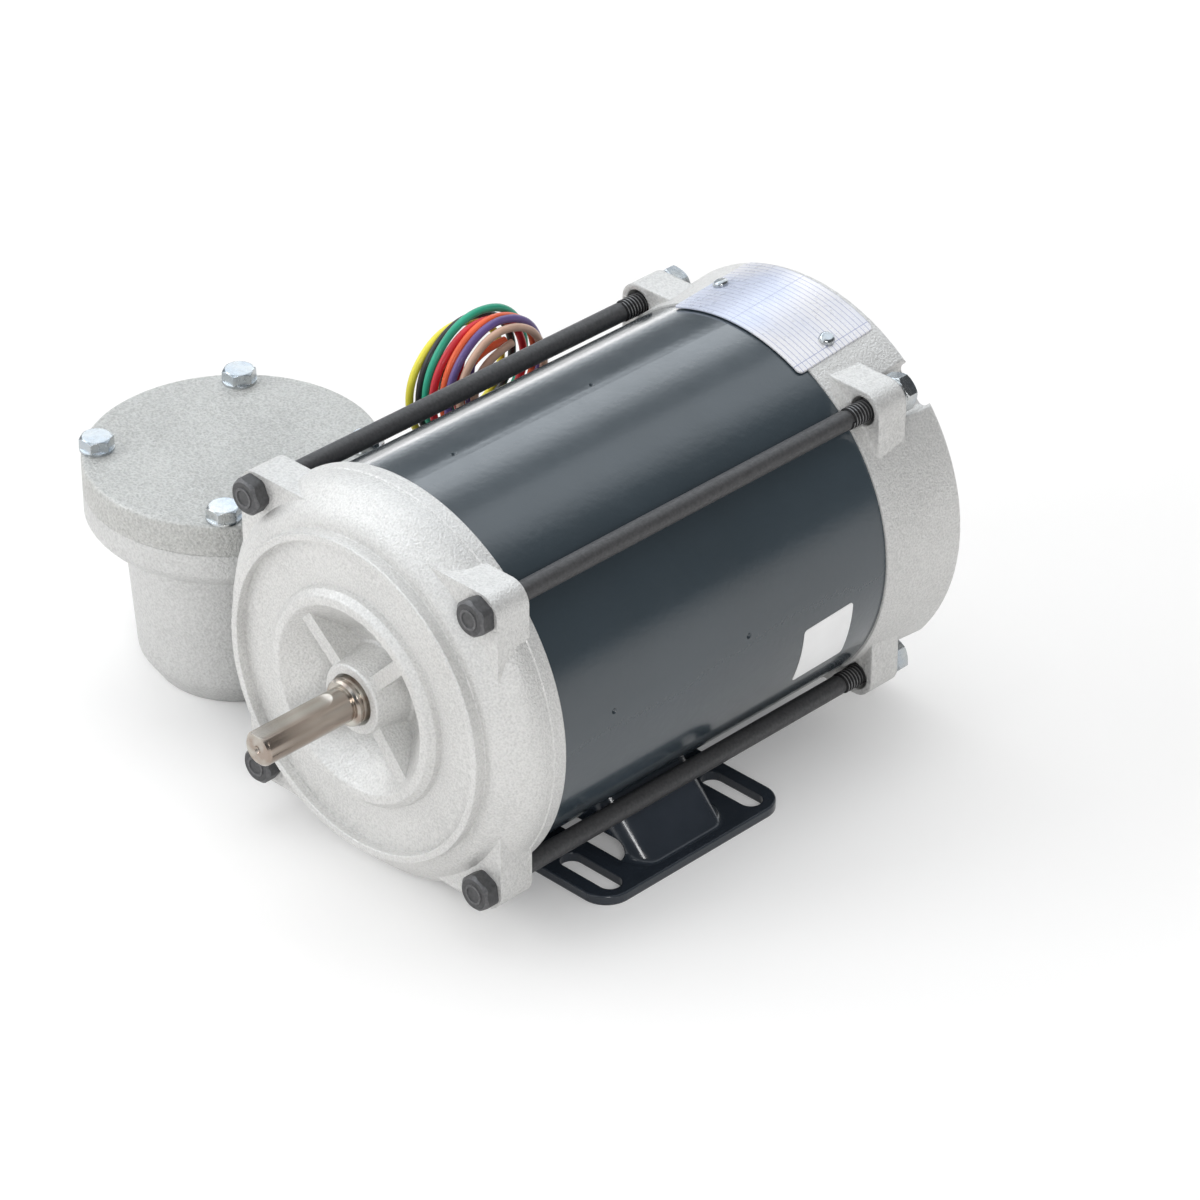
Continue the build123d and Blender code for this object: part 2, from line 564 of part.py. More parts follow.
def rear_endshield():
    seat_floor = REAR_BEARING_REAR + PRELOAD_GAP
    relief_floor = seat_floor + SEAT_FLOOR_RELIEF
    panel_outer = SHELL_R - BACK_PANEL_INSET
    neck_y = REAR_LUG_REAR - REAR_NECK_START
    section = [
        (SHELL_REAR, REAR_ROOT_R), (REAR_END, REAR_END_R), (REAR_END, panel_outer),
        (BACK_PANEL_Y, panel_outer - BACK_PANEL_ROUND), (BACK_PANEL_Y, BACK_PANEL_INNER_RADIUS),
        (REAR_END, BACK_PANEL_INNER_RADIUS - BACK_PANEL_ROUND), (REAR_END, 0), (relief_floor, 0),
        (relief_floor, BEARING_INNER_RIM), (seat_floor, BEARING_INNER_RIM),
        (seat_floor, BEARING_SEAT_R), (REAR_BEARING_Y, BEARING_SEAT_R),
        (REAR_BEARING_Y, BEARING_BOSS_RADIUS), (REAR_INNER_Y, BEARING_BOSS_RADIUS),
        (REAR_INNER_Y, REAR_INNER_R), (neck_y, REAR_INNER_R),
        (neck_y - REAR_NECK_LENGTH, SPIGOT_INNER_R), (SHELL_REAR - SPIGOT_LENGTH, SPIGOT_INNER_R),
        (SHELL_REAR - SPIGOT_LENGTH, SPIGOT_R), (SHELL_REAR, SPIGOT_R),
    ]
    rounds = {1: REAR_EDGE_ROUND, 3: BACK_PANEL_ROUND, 4: BACK_PANEL_ROUND, 14: WALL / 2}
    body = turned(section, rounds)
    body += corner_lugs(REAR_LUG_FACE, REAR_LUG_REAR)
    body -= around(CORNERS, nut_pocket())
    bolt_hole = rod(BOLT_DIAMETER / 2 + REAR_BOLT_CLEARANCE, SHELL_REAR - 1, REAR_LUG_REAR + 1)
    body -= at_bolt_circle(bolt_hole)
    post = Pos(SWITCH_POST_OFFSET, 0, 0) * rod(SWITCH_POST_RADIUS, BOARD_REAR, REAR_INNER_Y + 1)
    body += [post, mirror(post, Plane.YZ)]
    body -= switch_screw_sites(rod(SWITCH_SCREW_RADIUS, BOARD_REAR, BOARD_REAR + SWITCH_SCREW_TAP))
    hub = lead_passage(LEAD_HUB_RADIUS, REAR_INNER_R + WALL / 3, LEAD_HUB_REACH)
    body += fillet(hub.faces().sort_by(Axis.X)[0].edges(), LEAD_HUB_ROUND)
    body -= lead_passage(LEAD_THREAD_RADIUS, LEAD_SEAL_FACE, LEAD_HUB_REACH + 1)
    body -= lead_passage(LEAD_SEAL_RADIUS, LEAD_SEAL_INNER - 1, LEAD_SEAL_FACE + 1)
    body -= plate_screw_sites(plate_screw_shank(PLATE_SCREW_RADIUS))
    return body


def lead_passage(radius, start, end):
    """A round bar along -X through the lead hub."""
    bar = Pos(-(start + end) / 2, LEAD_HUB_Y, 0) * Rot(0, 90, 0) * Cylinder(radius, end - start)
    return bar


def lead_bushing():
    """The potted seal that the leads come through."""
    return lead_passage(LEAD_SEAL_RADIUS - PRESS_CLEARANCE, LEAD_SEAL_INNER, LEAD_SEAL_FACE)


# Through bolts, their washers and nuts

def through_bolts():
    head_front = FRONT_LUG_FACE - BOLT_HEAD_HEIGHT
    nut_rear = REAR_LUG_REAR + LOCK_WASHER_THICKNESS + NUT_HEIGHT
    tip = nut_rear + BOLT_TIP_BEYOND_NUT
    thread_start = tip - BOLT_THREAD_LENGTH
    shank_r = BOLT_SHANK_DIAMETER / 2
    thread_r = BOLT_DIAMETER / 2
    head = crosswise(hexagon(HEX_ACROSS_FLATS), head_front, FRONT_LUG_FACE)
    head &= turned([
        (head_front, 0), (head_front, HEX_CORNER_R - 2 * HEX_CHAMFER),
        (head_front + HEX_CHAMFER, HEX_CORNER_R), (FRONT_LUG_FACE, HEX_CORNER_R), (FRONT_LUG_FACE, 0)])
    head += rod(HEAD_MARK_RADIUS, head_front - HEAD_MARK_HEIGHT, head_front)
    shank = turned([
        (FRONT_LUG_FACE, 0), (FRONT_LUG_FACE, shank_r), (thread_start, shank_r),
        (thread_start + THREAD_CHAMFER, thread_r), (tip - THREAD_CHAMFER, thread_r),
        (tip, thread_r - THREAD_CHAMFER), (tip, 0)])
    return [
        Rot(0, corner, 0) * Pos(0, 0, BOLT_CIRCLE_R) * (Rot(0, turn, 0) * head + shank)
        for corner, turn in zip(CORNERS, HEAD_TURNS)
    ]


def lock_washers():
    rear = REAR_LUG_REAR + LOCK_WASHER_THICKNESS
    washer = ring(BOLT_DIAMETER / 2 + LOCK_WASHER_CLEARANCE, LOCK_WASHER_RADIUS, REAR_LUG_REAR, rear)
    depth = 2 * LOCK_WASHER_RADIUS - BOLT_DIAMETER
    split = Rot(0, 0, 20) * Box(LOCK_WASHER_SPLIT, 3 * LOCK_WASHER_THICKNESS, depth)
    return at_bolt_circle(washer - Pos(0, (REAR_LUG_REAR + rear) / 2, LOCK_WASHER_RADIUS) * split)


def through_bolt_nuts():
    front = REAR_LUG_REAR + LOCK_WASHER_THICKNESS
    rear = front + NUT_HEIGHT
    face_r = HEX_CORNER_R - 1.5 * NUT_CHAMFER
    nut = crosswise(hexagon(HEX_ACROSS_FLATS), front, rear)
    nut &= turned([
        (front, 0), (front, face_r), (front + NUT_CHAMFER, HEX_CORNER_R),
        (rear - NUT_CHAMFER, HEX_CORNER_R), (rear, face_r), (rear, 0)])
    nut -= rod(BOLT_DIAMETER / 2 + PRESS_CLEARANCE, front - 1, rear + 1)
    return at_bolt_circle(nut)


# Rating plate and label

def rear_surface_radius(y):
    """Radius of the rear endshield's tapered outside, carried on over the shell's end."""
    return REAR_ROOT_R + (y - SHELL_REAR) * REAR_SLOPE


def plate_middle():
    return SHELL_REAR - PLATE_OVERHANG + PLATE_LENGTH / 2


def plate_screw_sites(shape):
    """Both drive screws' places, square to the tapered plate and just above it."""
    seat = rear_surface_radius(plate_middle()) + PLATE_THICKNESS + 0.1
    tilt = math.degrees(math.atan(REAR_SLOPE))
    angles = (PLATE_TURN - PLATE_SCREW_ANGLE, PLATE_TURN + PLATE_SCREW_ANGLE)
    return around(angles, Pos(0, plate_middle(), seat) * Rot(tilt, 0, 0) * shape)


def plate_screw_shank(radius):
    return Pos(0, 0, -PLATE_SCREW_LENGTH / 2) * Cylinder(radius, PLATE_SCREW_LENGTH)


def nameplate():
    front = plate_middle() - PLATE_LENGTH / 2
    rear = front + PLATE_LENGTH
    inner_front = rear_surface_radius(front) + PRESS_CLEARANCE
    inner_rear = rear_surface_radius(rear) + PRESS_CLEARANCE
    cone = turned([
        (front, inner_front), (front, inner_front + PLATE_THICKNESS),
        (rear, inner_rear + PLATE_THICKNESS), (rear, inner_rear)])
    stamp = extrude(RectangleRounded(PLATE_WIDTH, PLATE_LENGTH, PLATE_CORNER), 2 * REAR_END_R)
    sheet = cone & Pos(0, plate_middle(), 0) * stamp
    sheet = Rot(0, PLATE_TURN, 0) * sheet
    return sheet - plate_screw_sites(plate_screw_shank(PLATE_SCREW_RADIUS + 0.1))


def nameplate_screws():
    head = turned_upright([
        (0, 0), (PLATE_SCREW_HEAD_RADIUS, 0), (PLATE_SCREW_HEAD_RADIUS, 0.3),
        (PLATE_SCREW_HEAD_RADIUS, PLATE_SCREW_HEAD_HEIGHT), (0, PLATE_SCREW_HEAD_HEIGHT)],
        {3: PLATE_SCREW_HEAD_HEIGHT - 0.4})
    return plate_screw_sites(head + plate_screw_shank(PLATE_SCREW_RADIUS - PRESS_CLEARANCE))


def serial_label():
    middle = SHELL_REAR - LABEL_AHEAD_OF_END
    inner = SHELL_R + PRESS_CLEARANCE
    skin = ring(inner, inner + LABEL_THICKNESS, middle - LABEL_LENGTH, middle + LABEL_LENGTH)
    stamp = extrude(RectangleRounded(LABEL_WIDTH, LABEL_LENGTH, LABEL_CORNER), 2 * SHELL_R)
    sheet = skin & Pos(0, middle, 0) * Rot(0, 0, LABEL_TILT) * stamp
    return Rot(0, LABEL_ANGLE, 0) * sheet


# Pressed foot

def saddle_hump(inset):
    """The saddle's roof-shaped form between its two ramps, its edges rolled, made smaller by inset."""
    half = SADDLE_LENGTH / 2 - inset
    peak = SADDLE_REACH - inset * math.sqrt(2)
    ramp = Plane(origin=(0, 0, peak), x_dir=(0, 1, 0), z_dir=(1, 0, -1))
    depth = 2 * SADDLE_REACH
    rolled = Pos(0, -depth / 2) * RectangleRounded(2 * half, depth, SADDLE_ROUND - inset)
    slab = extrude(ramp * rolled, depth, both=True)
    return block(peak, (-half, half), (0, peak)) & slab & mirror(slab, Plane.YZ)


def mounting_base():
    """One pressed plate: four slots, and a hollow saddle that stands in a window of the plate."""
    sites = [
        (x, y)
        for x in (-SLOT_HALF_SPACING_X, SLOT_HALF_SPACING_X)
        for y in (-SLOT_HALF_SPACING_Y, SLOT_HALF_SPACING_Y)
    ]
    plate = extrude(RectangleRounded(2 * BASE_HALF_WIDTH, BASE_LENGTH, BASE_CORNER), BASE_THICKNESS)
    plate = fillet(plate.faces().sort_by(Axis.Z)[-1].edges(), BASE_EDGE_ROUND)
    slots = Sketch() + Locations(*sites) * SlotOverall(FOOT_SLOT_LENGTH, FOOT_SLOT_WIDTH)
    plate -= extrude(slots, BASE_THICKNESS)
    body = plate + saddle_hump(0)
    on_plate = body.edges().filter_by_position(Axis.Z, BASE_THICKNESS - 0.01, BASE_THICKNESS + 0.01)
    foot_line = [e for e in on_plate if abs(e.center().Y) < SADDLE_LENGTH / 2 + 0.1]
    body = fillet(foot_line, SADDLE_FOOT_ROUND)
    seat = Pos(0, SHAFT_HEIGHT) * Circle(SHELL_R + BASE_THICKNESS)
    arch_half = SADDLE_FOOT_X - SADDLE_ARCH_INSET
    arch = RectangleRounded(2 * arch_half, 2 * SADDLE_ARCH_HEIGHT, SADDLE_ARCH_ROUND) - seat
    arch_y = SADDLE_LENGTH / 2 + SADDLE_FOOT_ROUND
    above_plate = block(arch_half, (-arch_y, arch_y), (BASE_THICKNESS, SADDLE_REACH))
    body -= crosswise(arch, -arch_y, arch_y) & above_plate
    window_y = SADDLE_LENGTH / 2 + WINDOW_MARGIN
    window = Rectangle(2 * arch_half, 2 * BASE_THICKNESS) - seat
    body -= crosswise(window, -window_y, window_y)
    under = saddle_hump(BASE_THICKNESS)
    body -= under - crosswise(seat, -SADDLE_LENGTH, SADDLE_LENGTH)
    return body - Pos(0, 0, SHAFT_HEIGHT) * rod(SHELL_R + PRESS_CLEARANCE, -SADDLE_LENGTH, SADDLE_LENGTH)


# Stator

def slot_outline(margin, bottom):
    """One stator slot, from a bottom radius outwards; margin is the liner's thickness."""
    return make_face(Polyline(
        (-SLOT_INNER_WIDTH / 2 + margin, bottom), (-SLOT_OUTER_WIDTH / 2 + margin, SLOT_OUTER_R - margin),
        (SLOT_OUTER_WIDTH / 2 - margin, SLOT_OUTER_R - margin), (SLOT_INNER_WIDTH / 2 - margin, bottom),
        close=True))


def stator_core():
    lamination = Circle(SHELL_INNER_R - PRESS_CLEARANCE) - Circle(STATOR_BORE_R)
    mouth = Pos(0, STATOR_BORE_R + 1) * Rectangle(SLOT_MOUTH_WIDTH, 2 * SLOT_MOUTH_DEPTH)
    lamination -= PolarLocations(0, STATOR_SLOTS) * (slot_outline(0, SLOT_INNER_R) + mouth)
    return crosswise(lamination, STACK_FRONT, STACK_REAR)


def stator_winding():
    inner = SLOT_INNER_R + SLOT_LINER
    slots = Sketch() + PolarLocations(0, STATOR_SLOTS) * slot_outline(SLOT_LINER, inner + SLOT_LINER)
    bars = crosswise(slots, STACK_FRONT, STACK_REAR)
    front_turns = turned([
        (STACK_FRONT - FRONT_OVERHANG, inner), (STACK_FRONT - FRONT_OVERHANG, END_TURN_OUTER_R),
        (STACK_FRONT, END_TURN_OUTER_R), (STACK_FRONT, inner)], {0: 5, 1: 7})
    rear_turns = turned([
        (STACK_REAR, inner), (STACK_REAR, END_TURN_OUTER_R),
        (STACK_REAR + REAR_OVERHANG, END_TURN_OUTER_R), (STACK_REAR + REAR_OVERHANG, inner)],
        {2: 4, 3: 4})
    return front_turns + bars + rear_turns


def thermal_protector():
    seat = STACK_REAR + REAR_OVERHANG
    middle = (SLOT_INNER_R + END_TURN_OUTER_R) / 2
    can = turned([
        (seat, 0), (seat, PROTECTOR_RADIUS), (seat + PROTECTOR_HEIGHT, PROTECTOR_RADIUS),
        (seat + PROTECTOR_HEIGHT, 0)], {2: 1.5})
    return Pos(0, 0, middle) * can


# Rotor

def shaft_end():
    """The bare shaft end in two lengths, flatted and round, so that each keeps a face of its own."""
    radius = SHAFT_DIAMETER / 2
    flat_z = radius - FLAT_DEPTH
    runout = math.sqrt(FLAT_RUNOUT_RADIUS ** 2 - (FLAT_RUNOUT_RADIUS - FLAT_DEPTH) ** 2)
    flat_end = SHAFT_TIP + FLAT_LENGTH - runout
    bar = turned([
        (SHAFT_TIP, 0), (SHAFT_TIP, radius - SHAFT_CHAMFER), (SHAFT_TIP + SHAFT_CHAMFER, radius),
        (SHAFT_SHOULDER, radius), (SHAFT_SHOULDER, 0)])
    bar -= block(radius, (SHAFT_TIP - 1, flat_end), (flat_z, radius + 1))
    bar -= cross_pin(FLAT_RUNOUT_RADIUS, radius, flat_end, flat_z + FLAT_RUNOUT_RADIUS)
    bar -= turned([(SHAFT_TIP, 0), (SHAFT_TIP, 1.5), (SHAFT_TIP + 2, 0)])
    parting = flat_end - 0.5
    flatted = bar & block(radius, (SHAFT_TIP, parting), (-radius, radius))
    return flatted, bar & block(radius, (parting, SHAFT_SHOULDER), (-radius, radius))


def rotor_shaft():
    groove = SHAFT_SHOULDER + 1.6
    governor_step = STACK_REAR + 4
    shaft = turned([
        (SHAFT_SHOULDER, 0), (SHAFT_SHOULDER, JOURNAL_R - 0.8), (SHAFT_SHOULDER + 0.8, JOURNAL_R),
        (groove, JOURNAL_R), (groove, JOURNAL_R - JOURNAL_GROOVE_DEPTH),
        (groove + 0.9, JOURNAL_R - JOURNAL_GROOVE_DEPTH), (groove + 0.9, JOURNAL_R),
        (FRONT_BEARING_REAR, JOURNAL_R), (FRONT_BEARING_REAR, SHAFT_FRONT_COLLAR_RADIUS),
        (STACK_FRONT - 4, SHAFT_FRONT_COLLAR_RADIUS), (STACK_FRONT - 4, ROTOR_SEAT_RADIUS),
        (governor_step, ROTOR_SEAT_RADIUS), (governor_step, SHAFT_REAR_RADIUS),
        (REAR_BEARING_Y, SHAFT_REAR_RADIUS), (REAR_BEARING_Y, JOURNAL_R),
        (SHAFT_REAR_END - 0.8, JOURNAL_R), (SHAFT_REAR_END, JOURNAL_R - 0.8), (SHAFT_REAR_END, 0)])
    flatted, round_length = shaft_end()
    with SkipClean():
        shaft = shaft + round_length + flatted
    return shaft


def rotor_core():
    lamination = Circle(ROTOR_R) - Circle(ROTOR_SEAT_RADIUS + PRESS_CLEARANCE)
    lamination -= PolarLocations(BAR_CIRCLE_R, ROTOR_BARS) * Circle(BAR_RADIUS + PRESS_CLEARANCE)
    return crosswise(lamination, STACK_FRONT, STACK_REAR)


def squirrel_cage():
    """Cast bars and end rings in one piece, with the fan blades on both rings."""
    bars = Sketch() + PolarLocations(BAR_CIRCLE_R, ROTOR_BARS) * Circle(BAR_RADIUS)
    cage = crosswise(bars, STACK_FRONT, STACK_REAR)
    cage += ring(END_RING_INNER_R, END_RING_OUTER_R, STACK_FRONT - END_RING_THICKNESS, STACK_FRONT)
    cage += ring(END_RING_INNER_R, END_RING_OUTER_R, STACK_REAR, STACK_REAR + END_RING_THICKNESS)
    blade_radii = (END_RING_INNER_R + 1, END_RING_OUTER_R - 1)
    front_end = STACK_FRONT - END_RING_THICKNESS
    rear_end = STACK_REAR + END_RING_THICKNESS
    angles = [360 / BLADE_COUNT * (i + 0.5) for i in range(BLADE_COUNT)]
    cage += around(angles, block(BLADE_THICKNESS / 2, (front_end - BLADE_LENGTH, front_end), blade_radii))
    cage += around(angles, block(BLADE_THICKNESS / 2, (rear_end, rear_end + BLADE_LENGTH), blade_radii))
    return cage


# Bearings

def ball_track():
    return Rot(90, 0, 0) * Torus(BALL_PITCH_RADIUS, BALL_RADIUS + BALL_CLEARANCE)


def ball_sites(radius):
    angles = [360 / BALL_COUNT * i for i in range(BALL_COUNT)]
    return around(angles, Pos(0, 0, BALL_PITCH_RADIUS) * Sphere(radius))


def bearing_outer_ring():
    half = BEARING_WIDTH / 2
    outer = turned([
        (-half, BEARING_OUTER_RIM), (-half, BEARING_OUTER_RADIUS - 0.6), (0.6 - half, BEARING_OUTER_RADIUS),
        (half - 0.6, BEARING_OUTER_RADIUS), (half, BEARING_OUTER_RADIUS - 0.6), (half, BEARING_OUTER_RIM)])
    return outer - ball_track()


def bearing_inner_ring():
    half = BEARING_WIDTH / 2
    return ring(BEARING_BORE_RADIUS + PRESS_CLEARANCE, BEARING_INNER_RIM, -half, half) - ball_track()


def bearing_cage():
    cage = ring(CAGE_INNER_RADIUS, CAGE_OUTER_RADIUS, -CAGE_HALF_WIDTH, CAGE_HALF_WIDTH)
    return cage - ball_sites(BALL_RADIUS + BALL_CLEARANCE)


def bearing_balls():
    return ball_sites(BALL_RADIUS)


def at_front_bearing(shapes):
    return [Pos(0, FRONT_BEARING_Y + BEARING_WIDTH / 2, 0) * s for s in shapes]


def at_rear_bearing(shapes):
    return [Pos(0, REAR_BEARING_Y + BEARING_WIDTH / 2, 0) * s for s in shapes]


def preload_spring():
    """A conical spring washer between the rear bearing and its seat."""
    front = REAR_BEARING_REAR
    rear = front + PRELOAD_GAP
    inner = BEARING_OUTER_RIM + 0.4
    outer = BEARING_OUTER_RADIUS - 0.4
    thickness = PRELOAD_SPRING_THICKNESS
    return turned([(front, outer), (front + thickness, outer), (rear, inner), (rear - thickness, inner)])


def cap_screw_sites(shape):
    return around((0, 120, 240), Pos(0, 0, CAP_SCREW_CIRCLE) * shape)


def bearing_cap():
    rear = FRONT_BEARING_REAR + BEARING_CAP_THICKNESS
    cap = ring(BEARING_CAP_BORE, BEARING_BOSS_RADIUS, FRONT_BEARING_REAR, rear)
    hole = rod(CAP_SCREW_RADIUS + 0.2, FRONT_BEARING_REAR - 1, rear + 1)
    return cap - cap_screw_sites(hole)


def bearing_cap_screws():
    seat = FRONT_BEARING_REAR + BEARING_CAP_THICKNESS
    head = ring(0, CAP_SCREW_HEAD_RADIUS, seat, seat + CAP_SCREW_HEAD_HEIGHT)
    shank = rod(CAP_SCREW_RADIUS - PRESS_CLEARANCE, seat - CAP_SCREW_LENGTH, seat)
    return cap_screw_sites(head + shank)


# Centrifugal governor and start switch

def governor_hub():
    start = STACK_REAR + GOVERNOR_SLEEVE_START
    plate = STACK_REAR + GOVERNOR_PLATE_START
    plate_rear = plate + GOVERNOR_PLATE_THICKNESS
    hub_bore = SHAFT_REAR_RADIUS + PRESS_CLEARANCE
    hub = ring(hub_bore, GOVERNOR_SLEEVE_RADIUS, start, start + GOVERNOR_SLEEVE_LENGTH)
    hub += ring(hub_bore, GOVERNOR_PLATE_RADIUS, plate, plate_rear)
    gap = WEIGHT_HALF_WIDTH + WEIGHT_SIDE_CLEARANCE
    notch = block(gap, (plate - 1, plate_rear + 1), (GOVERNOR_SLEEVE_RADIUS + 2, GOVERNOR_PLATE_RADIUS + 1))
    hub -= around((0, 180), notch)
    ear_half = GOVERNOR_EAR_HALF_HEIGHT
    reach = (GOVERNOR_PIVOT_RADIUS - ear_half, GOVERNOR_PIVOT_RADIUS + ear_half)
    ears = block(gap + GOVERNOR_EAR_THICKNESS, (plate_rear, PIVOT_Y), reach)
    ears += cross_pin(ear_half, gap + GOVERNOR_EAR_THICKNESS, PIVOT_Y, GOVERNOR_PIVOT_RADIUS)
    ears -= block(gap, (plate_rear, PIVOT_Y + 2 * ear_half), (reach[0] - 1, reach[1] + 1))
    bore = GOVERNOR_PIN_RADIUS + GOVERNOR_PIN_CLEARANCE
    ears -= cross_pin(bore, gap + GOVERNOR_EAR_THICKNESS + 1, PIVOT_Y, GOVERNOR_PIVOT_RADIUS)
    return hub + around((0, 180), ears)


def governor_weight():
    mass_rear = PIVOT_Y - WEIGHT_NECK
    pin_half = WEIGHT_HALF_WIDTH + WEIGHT_SIDE_CLEARANCE + GOVERNOR_EAR_THICKNESS
    half = WEIGHT_HALF_WIDTH
    weight = block(half, (mass_rear - WEIGHT_DEPTH, mass_rear), (WEIGHT_INNER_RADIUS, WEIGHT_OUTER_RADIUS))
    weight += block(half, (mass_rear, PIVOT_Y), (GOVERNOR_PIVOT_RADIUS - 2.5, GOVERNOR_PIVOT_RADIUS + 2.5))
    weight += cross_pin(3.0, half, PIVOT_Y, GOVERNOR_PIVOT_RADIUS)
    finger_y = (PIVOT_Y - FINGER_HALF_THICKNESS, PIVOT_Y + FINGER_HALF_THICKNESS)
    weight += block(FINGER_HALF_WIDTH, finger_y, (FINGER_TIP_RADIUS, GOVERNOR_PIVOT_RADIUS))
    return weight + cross_pin(GOVERNOR_PIN_RADIUS, pin_half, PIVOT_Y, GOVERNOR_PIVOT_RADIUS)


def governor_collar():
    bore = SHAFT_REAR_RADIUS + RUNNING_CLEARANCE
    groove_front = PIVOT_Y - COLLAR_GROOVE_HALF_WIDTH
    groove_rear = PIVOT_Y + COLLAR_GROOVE_HALF_WIDTH
    collar = ring(bore, COLLAR_RADIUS, COLLAR_FRONT, COLLAR_REAR)
    collar += ring(bore, COLLAR_FLANGE_RADIUS, groove_front - COLLAR_FLANGE_THICKNESS, groove_front)
    collar += ring(bore, COLLAR_FLANGE_RADIUS, groove_rear, groove_rear + COLLAR_FLANGE_THICKNESS)
    return collar + ring(bore, PUSHER_RADIUS, COLLAR_REAR - COLLAR_FLANGE_THICKNESS, COLLAR_REAR)


def switch_screw_sites(shape):
    return [Pos(side * SWITCH_POST_OFFSET, 0, 0) * shape for side in (-1, 1)]


def start_switch_board():
    outline = Circle(BOARD_OUTER_R) - Circle(BOARD_INNER_RADIUS)
    height = BOARD_OUTER_R - BOARD_LOWER_EDGE
    outline &= Pos(0, BOARD_LOWER_EDGE + height / 2) * Rectangle(2 * BOARD_OUTER_R, height)
    board = crosswise(outline, BOARD_FACE, BOARD_REAR)
    board -= switch_screw_sites(rod(SWITCH_SCREW_RADIUS + 0.1, BOARD_FACE - 1, BOARD_REAR + 1))
    gap = ARM_HALF_WIDTH + ARM_EAR_CLEARANCE
    ear_radii = (ARM_PIVOT_RADIUS - ARM_EAR_HALF_HEIGHT, ARM_PIVOT_RADIUS + ARM_EAR_HALF_HEIGHT)
    ears = block(gap + ARM_EAR_THICKNESS, (ARM_PIVOT_Y - ARM_EAR_THICKNESS, BOARD_FACE), ear_radii)
    ears -= block(gap, (ARM_PIVOT_Y - 2 * ARM_EAR_THICKNESS, BOARD_FACE), ear_radii)
    pin = cross_pin(ARM_PIN_RADIUS, gap + ARM_EAR_THICKNESS, ARM_PIVOT_Y, ARM_PIVOT_RADIUS)
    return board + ears + pin


def start_switch_arm():
    arm = block(ARM_HALF_WIDTH, (ARM_FACE, ARM_FACE + ARM_THICKNESS), (ARM_TIP_RADIUS, ARM_PIVOT_RADIUS))
    arm += cross_pin(ARM_KNUCKLE_RADIUS, ARM_HALF_WIDTH, ARM_PIVOT_Y, ARM_PIVOT_RADIUS)
    return arm - cross_pin(ARM_PIN_RADIUS + 0.1, ARM_HALF_WIDTH + 1, ARM_PIVOT_Y, ARM_PIVOT_RADIUS)


def switch_terminals():
    width, length, thickness = TERMINAL_SIZE
    middle = (BOARD_INNER_RADIUS + BOARD_OUTER_R) / 2
    tab = block(width / 2, (BOARD_REAR, BOARD_REAR + length), (middle, middle + thickness))
    return around(TERMINAL_ANGLES, tab)


def switch_board_screws():
    head = rod(2 * SWITCH_SCREW_RADIUS, BOARD_FACE - SWITCH_SCREW_HEAD_HEIGHT, BOARD_FACE)
    shank = rod(SWITCH_SCREW_RADIUS - PRESS_CLEARANCE, BOARD_FACE, BOARD_REAR + SWITCH_SCREW_REACH)
    return switch_screw_sites(head + shank)


# Conduit box

def cover_bolt_sites(shape):
    half = COVER_BOLT_HALF_SPACING
    return [Pos(x, y, 0) * shape for x in (-half, half) for y in (-half, half)]


def conduit_box_body():
    cavity_top = BOX_TOP_RADIUS - BOX_WALL
    cavity_low = BOX_LOW_RADIUS - BOX_WALL
    neck = [
        (BOX_TOP_RADIUS + (COVER_RADIUS - BOX_TOP_RADIUS) * math.cos(math.radians(a)),
         BOX_NECK_TOP - BOX_NECK_HEIGHT * math.sin(math.radians(a)))
        for a in (0, 90)
    ]
    low_corner = (BOX_LOW_RADIUS, BOX_LOW_HEIGHT)
    sag = (neck[0][0] - 0.22 * (COVER_RADIUS - BOX_TOP_RADIUS), BOX_NECK_TOP - 0.62 * BOX_NECK_HEIGHT)
    outline = Polyline(neck[1], low_corner, (BOX_BASE_RADIUS, 0), (MOTOR_ENTRY_RADIUS, 0),
                       (MOTOR_ENTRY_RADIUS, BOX_FLOOR), (cavity_low, BOX_FLOOR),
                       (cavity_top, COVER_UNDERSIDE), (COVER_RADIUS, COVER_UNDERSIDE), neck[0])
    outline += ThreePointArc(neck[0], sag, neck[1])
    section = make_face(outline)
    for corner, radius in ((low_corner, 6), ((BOX_BASE_RADIUS, 0), 2), ((cavity_low, BOX_FLOOR), 4)):
        section = fillet(section.vertices().sort_by_distance(corner)[0], radius)
    body = revolve(UPRIGHT * section, Axis.Z)
    reach = (BOX_TOP_RADIUS - BOX_WALL + 1, SUPPLY_HUB_REACH)
    hub_bar = Rot(90, 0, 0) * Cylinder(SUPPLY_HUB_RADIUS, reach[1] - reach[0])
    hub = Pos(0, sum(reach) / 2, SUPPLY_HUB_HEIGHT) * hub_bar
    entry_bar = Rot(90, 0, 0) * Cylinder(SUPPLY_ENTRY_RADIUS, SUPPLY_HUB_REACH)
    entry = Pos(0, SUPPLY_HUB_REACH / 2 + 10, SUPPLY_HUB_HEIGHT) * entry_bar
    body = body + hub - entry
    top = COVER_UNDERSIDE - (COVER_BOLT_LENGTH - COVER_THICKNESS + COVER_WASHER_THICKNESS) - 1
    depth = COVER_UNDERSIDE - top
    body -= cover_bolt_sites(Pos(0, 0, top + depth / 2) * Cylinder(COVER_BOLT_RADIUS, depth))
    screw_hole = Pos(GROUND_SCREW_OFFSET, 0, BOX_FLOOR - GROUND_SCREW_LENGTH / 2)
    body -= screw_hole * Cylinder(GROUND_SCREW_RADIUS, GROUND_SCREW_LENGTH)
    return in_box_place(body)


def in_box_place(shape):
    return Pos(BOX_X, BOX_Y, 0) * shape


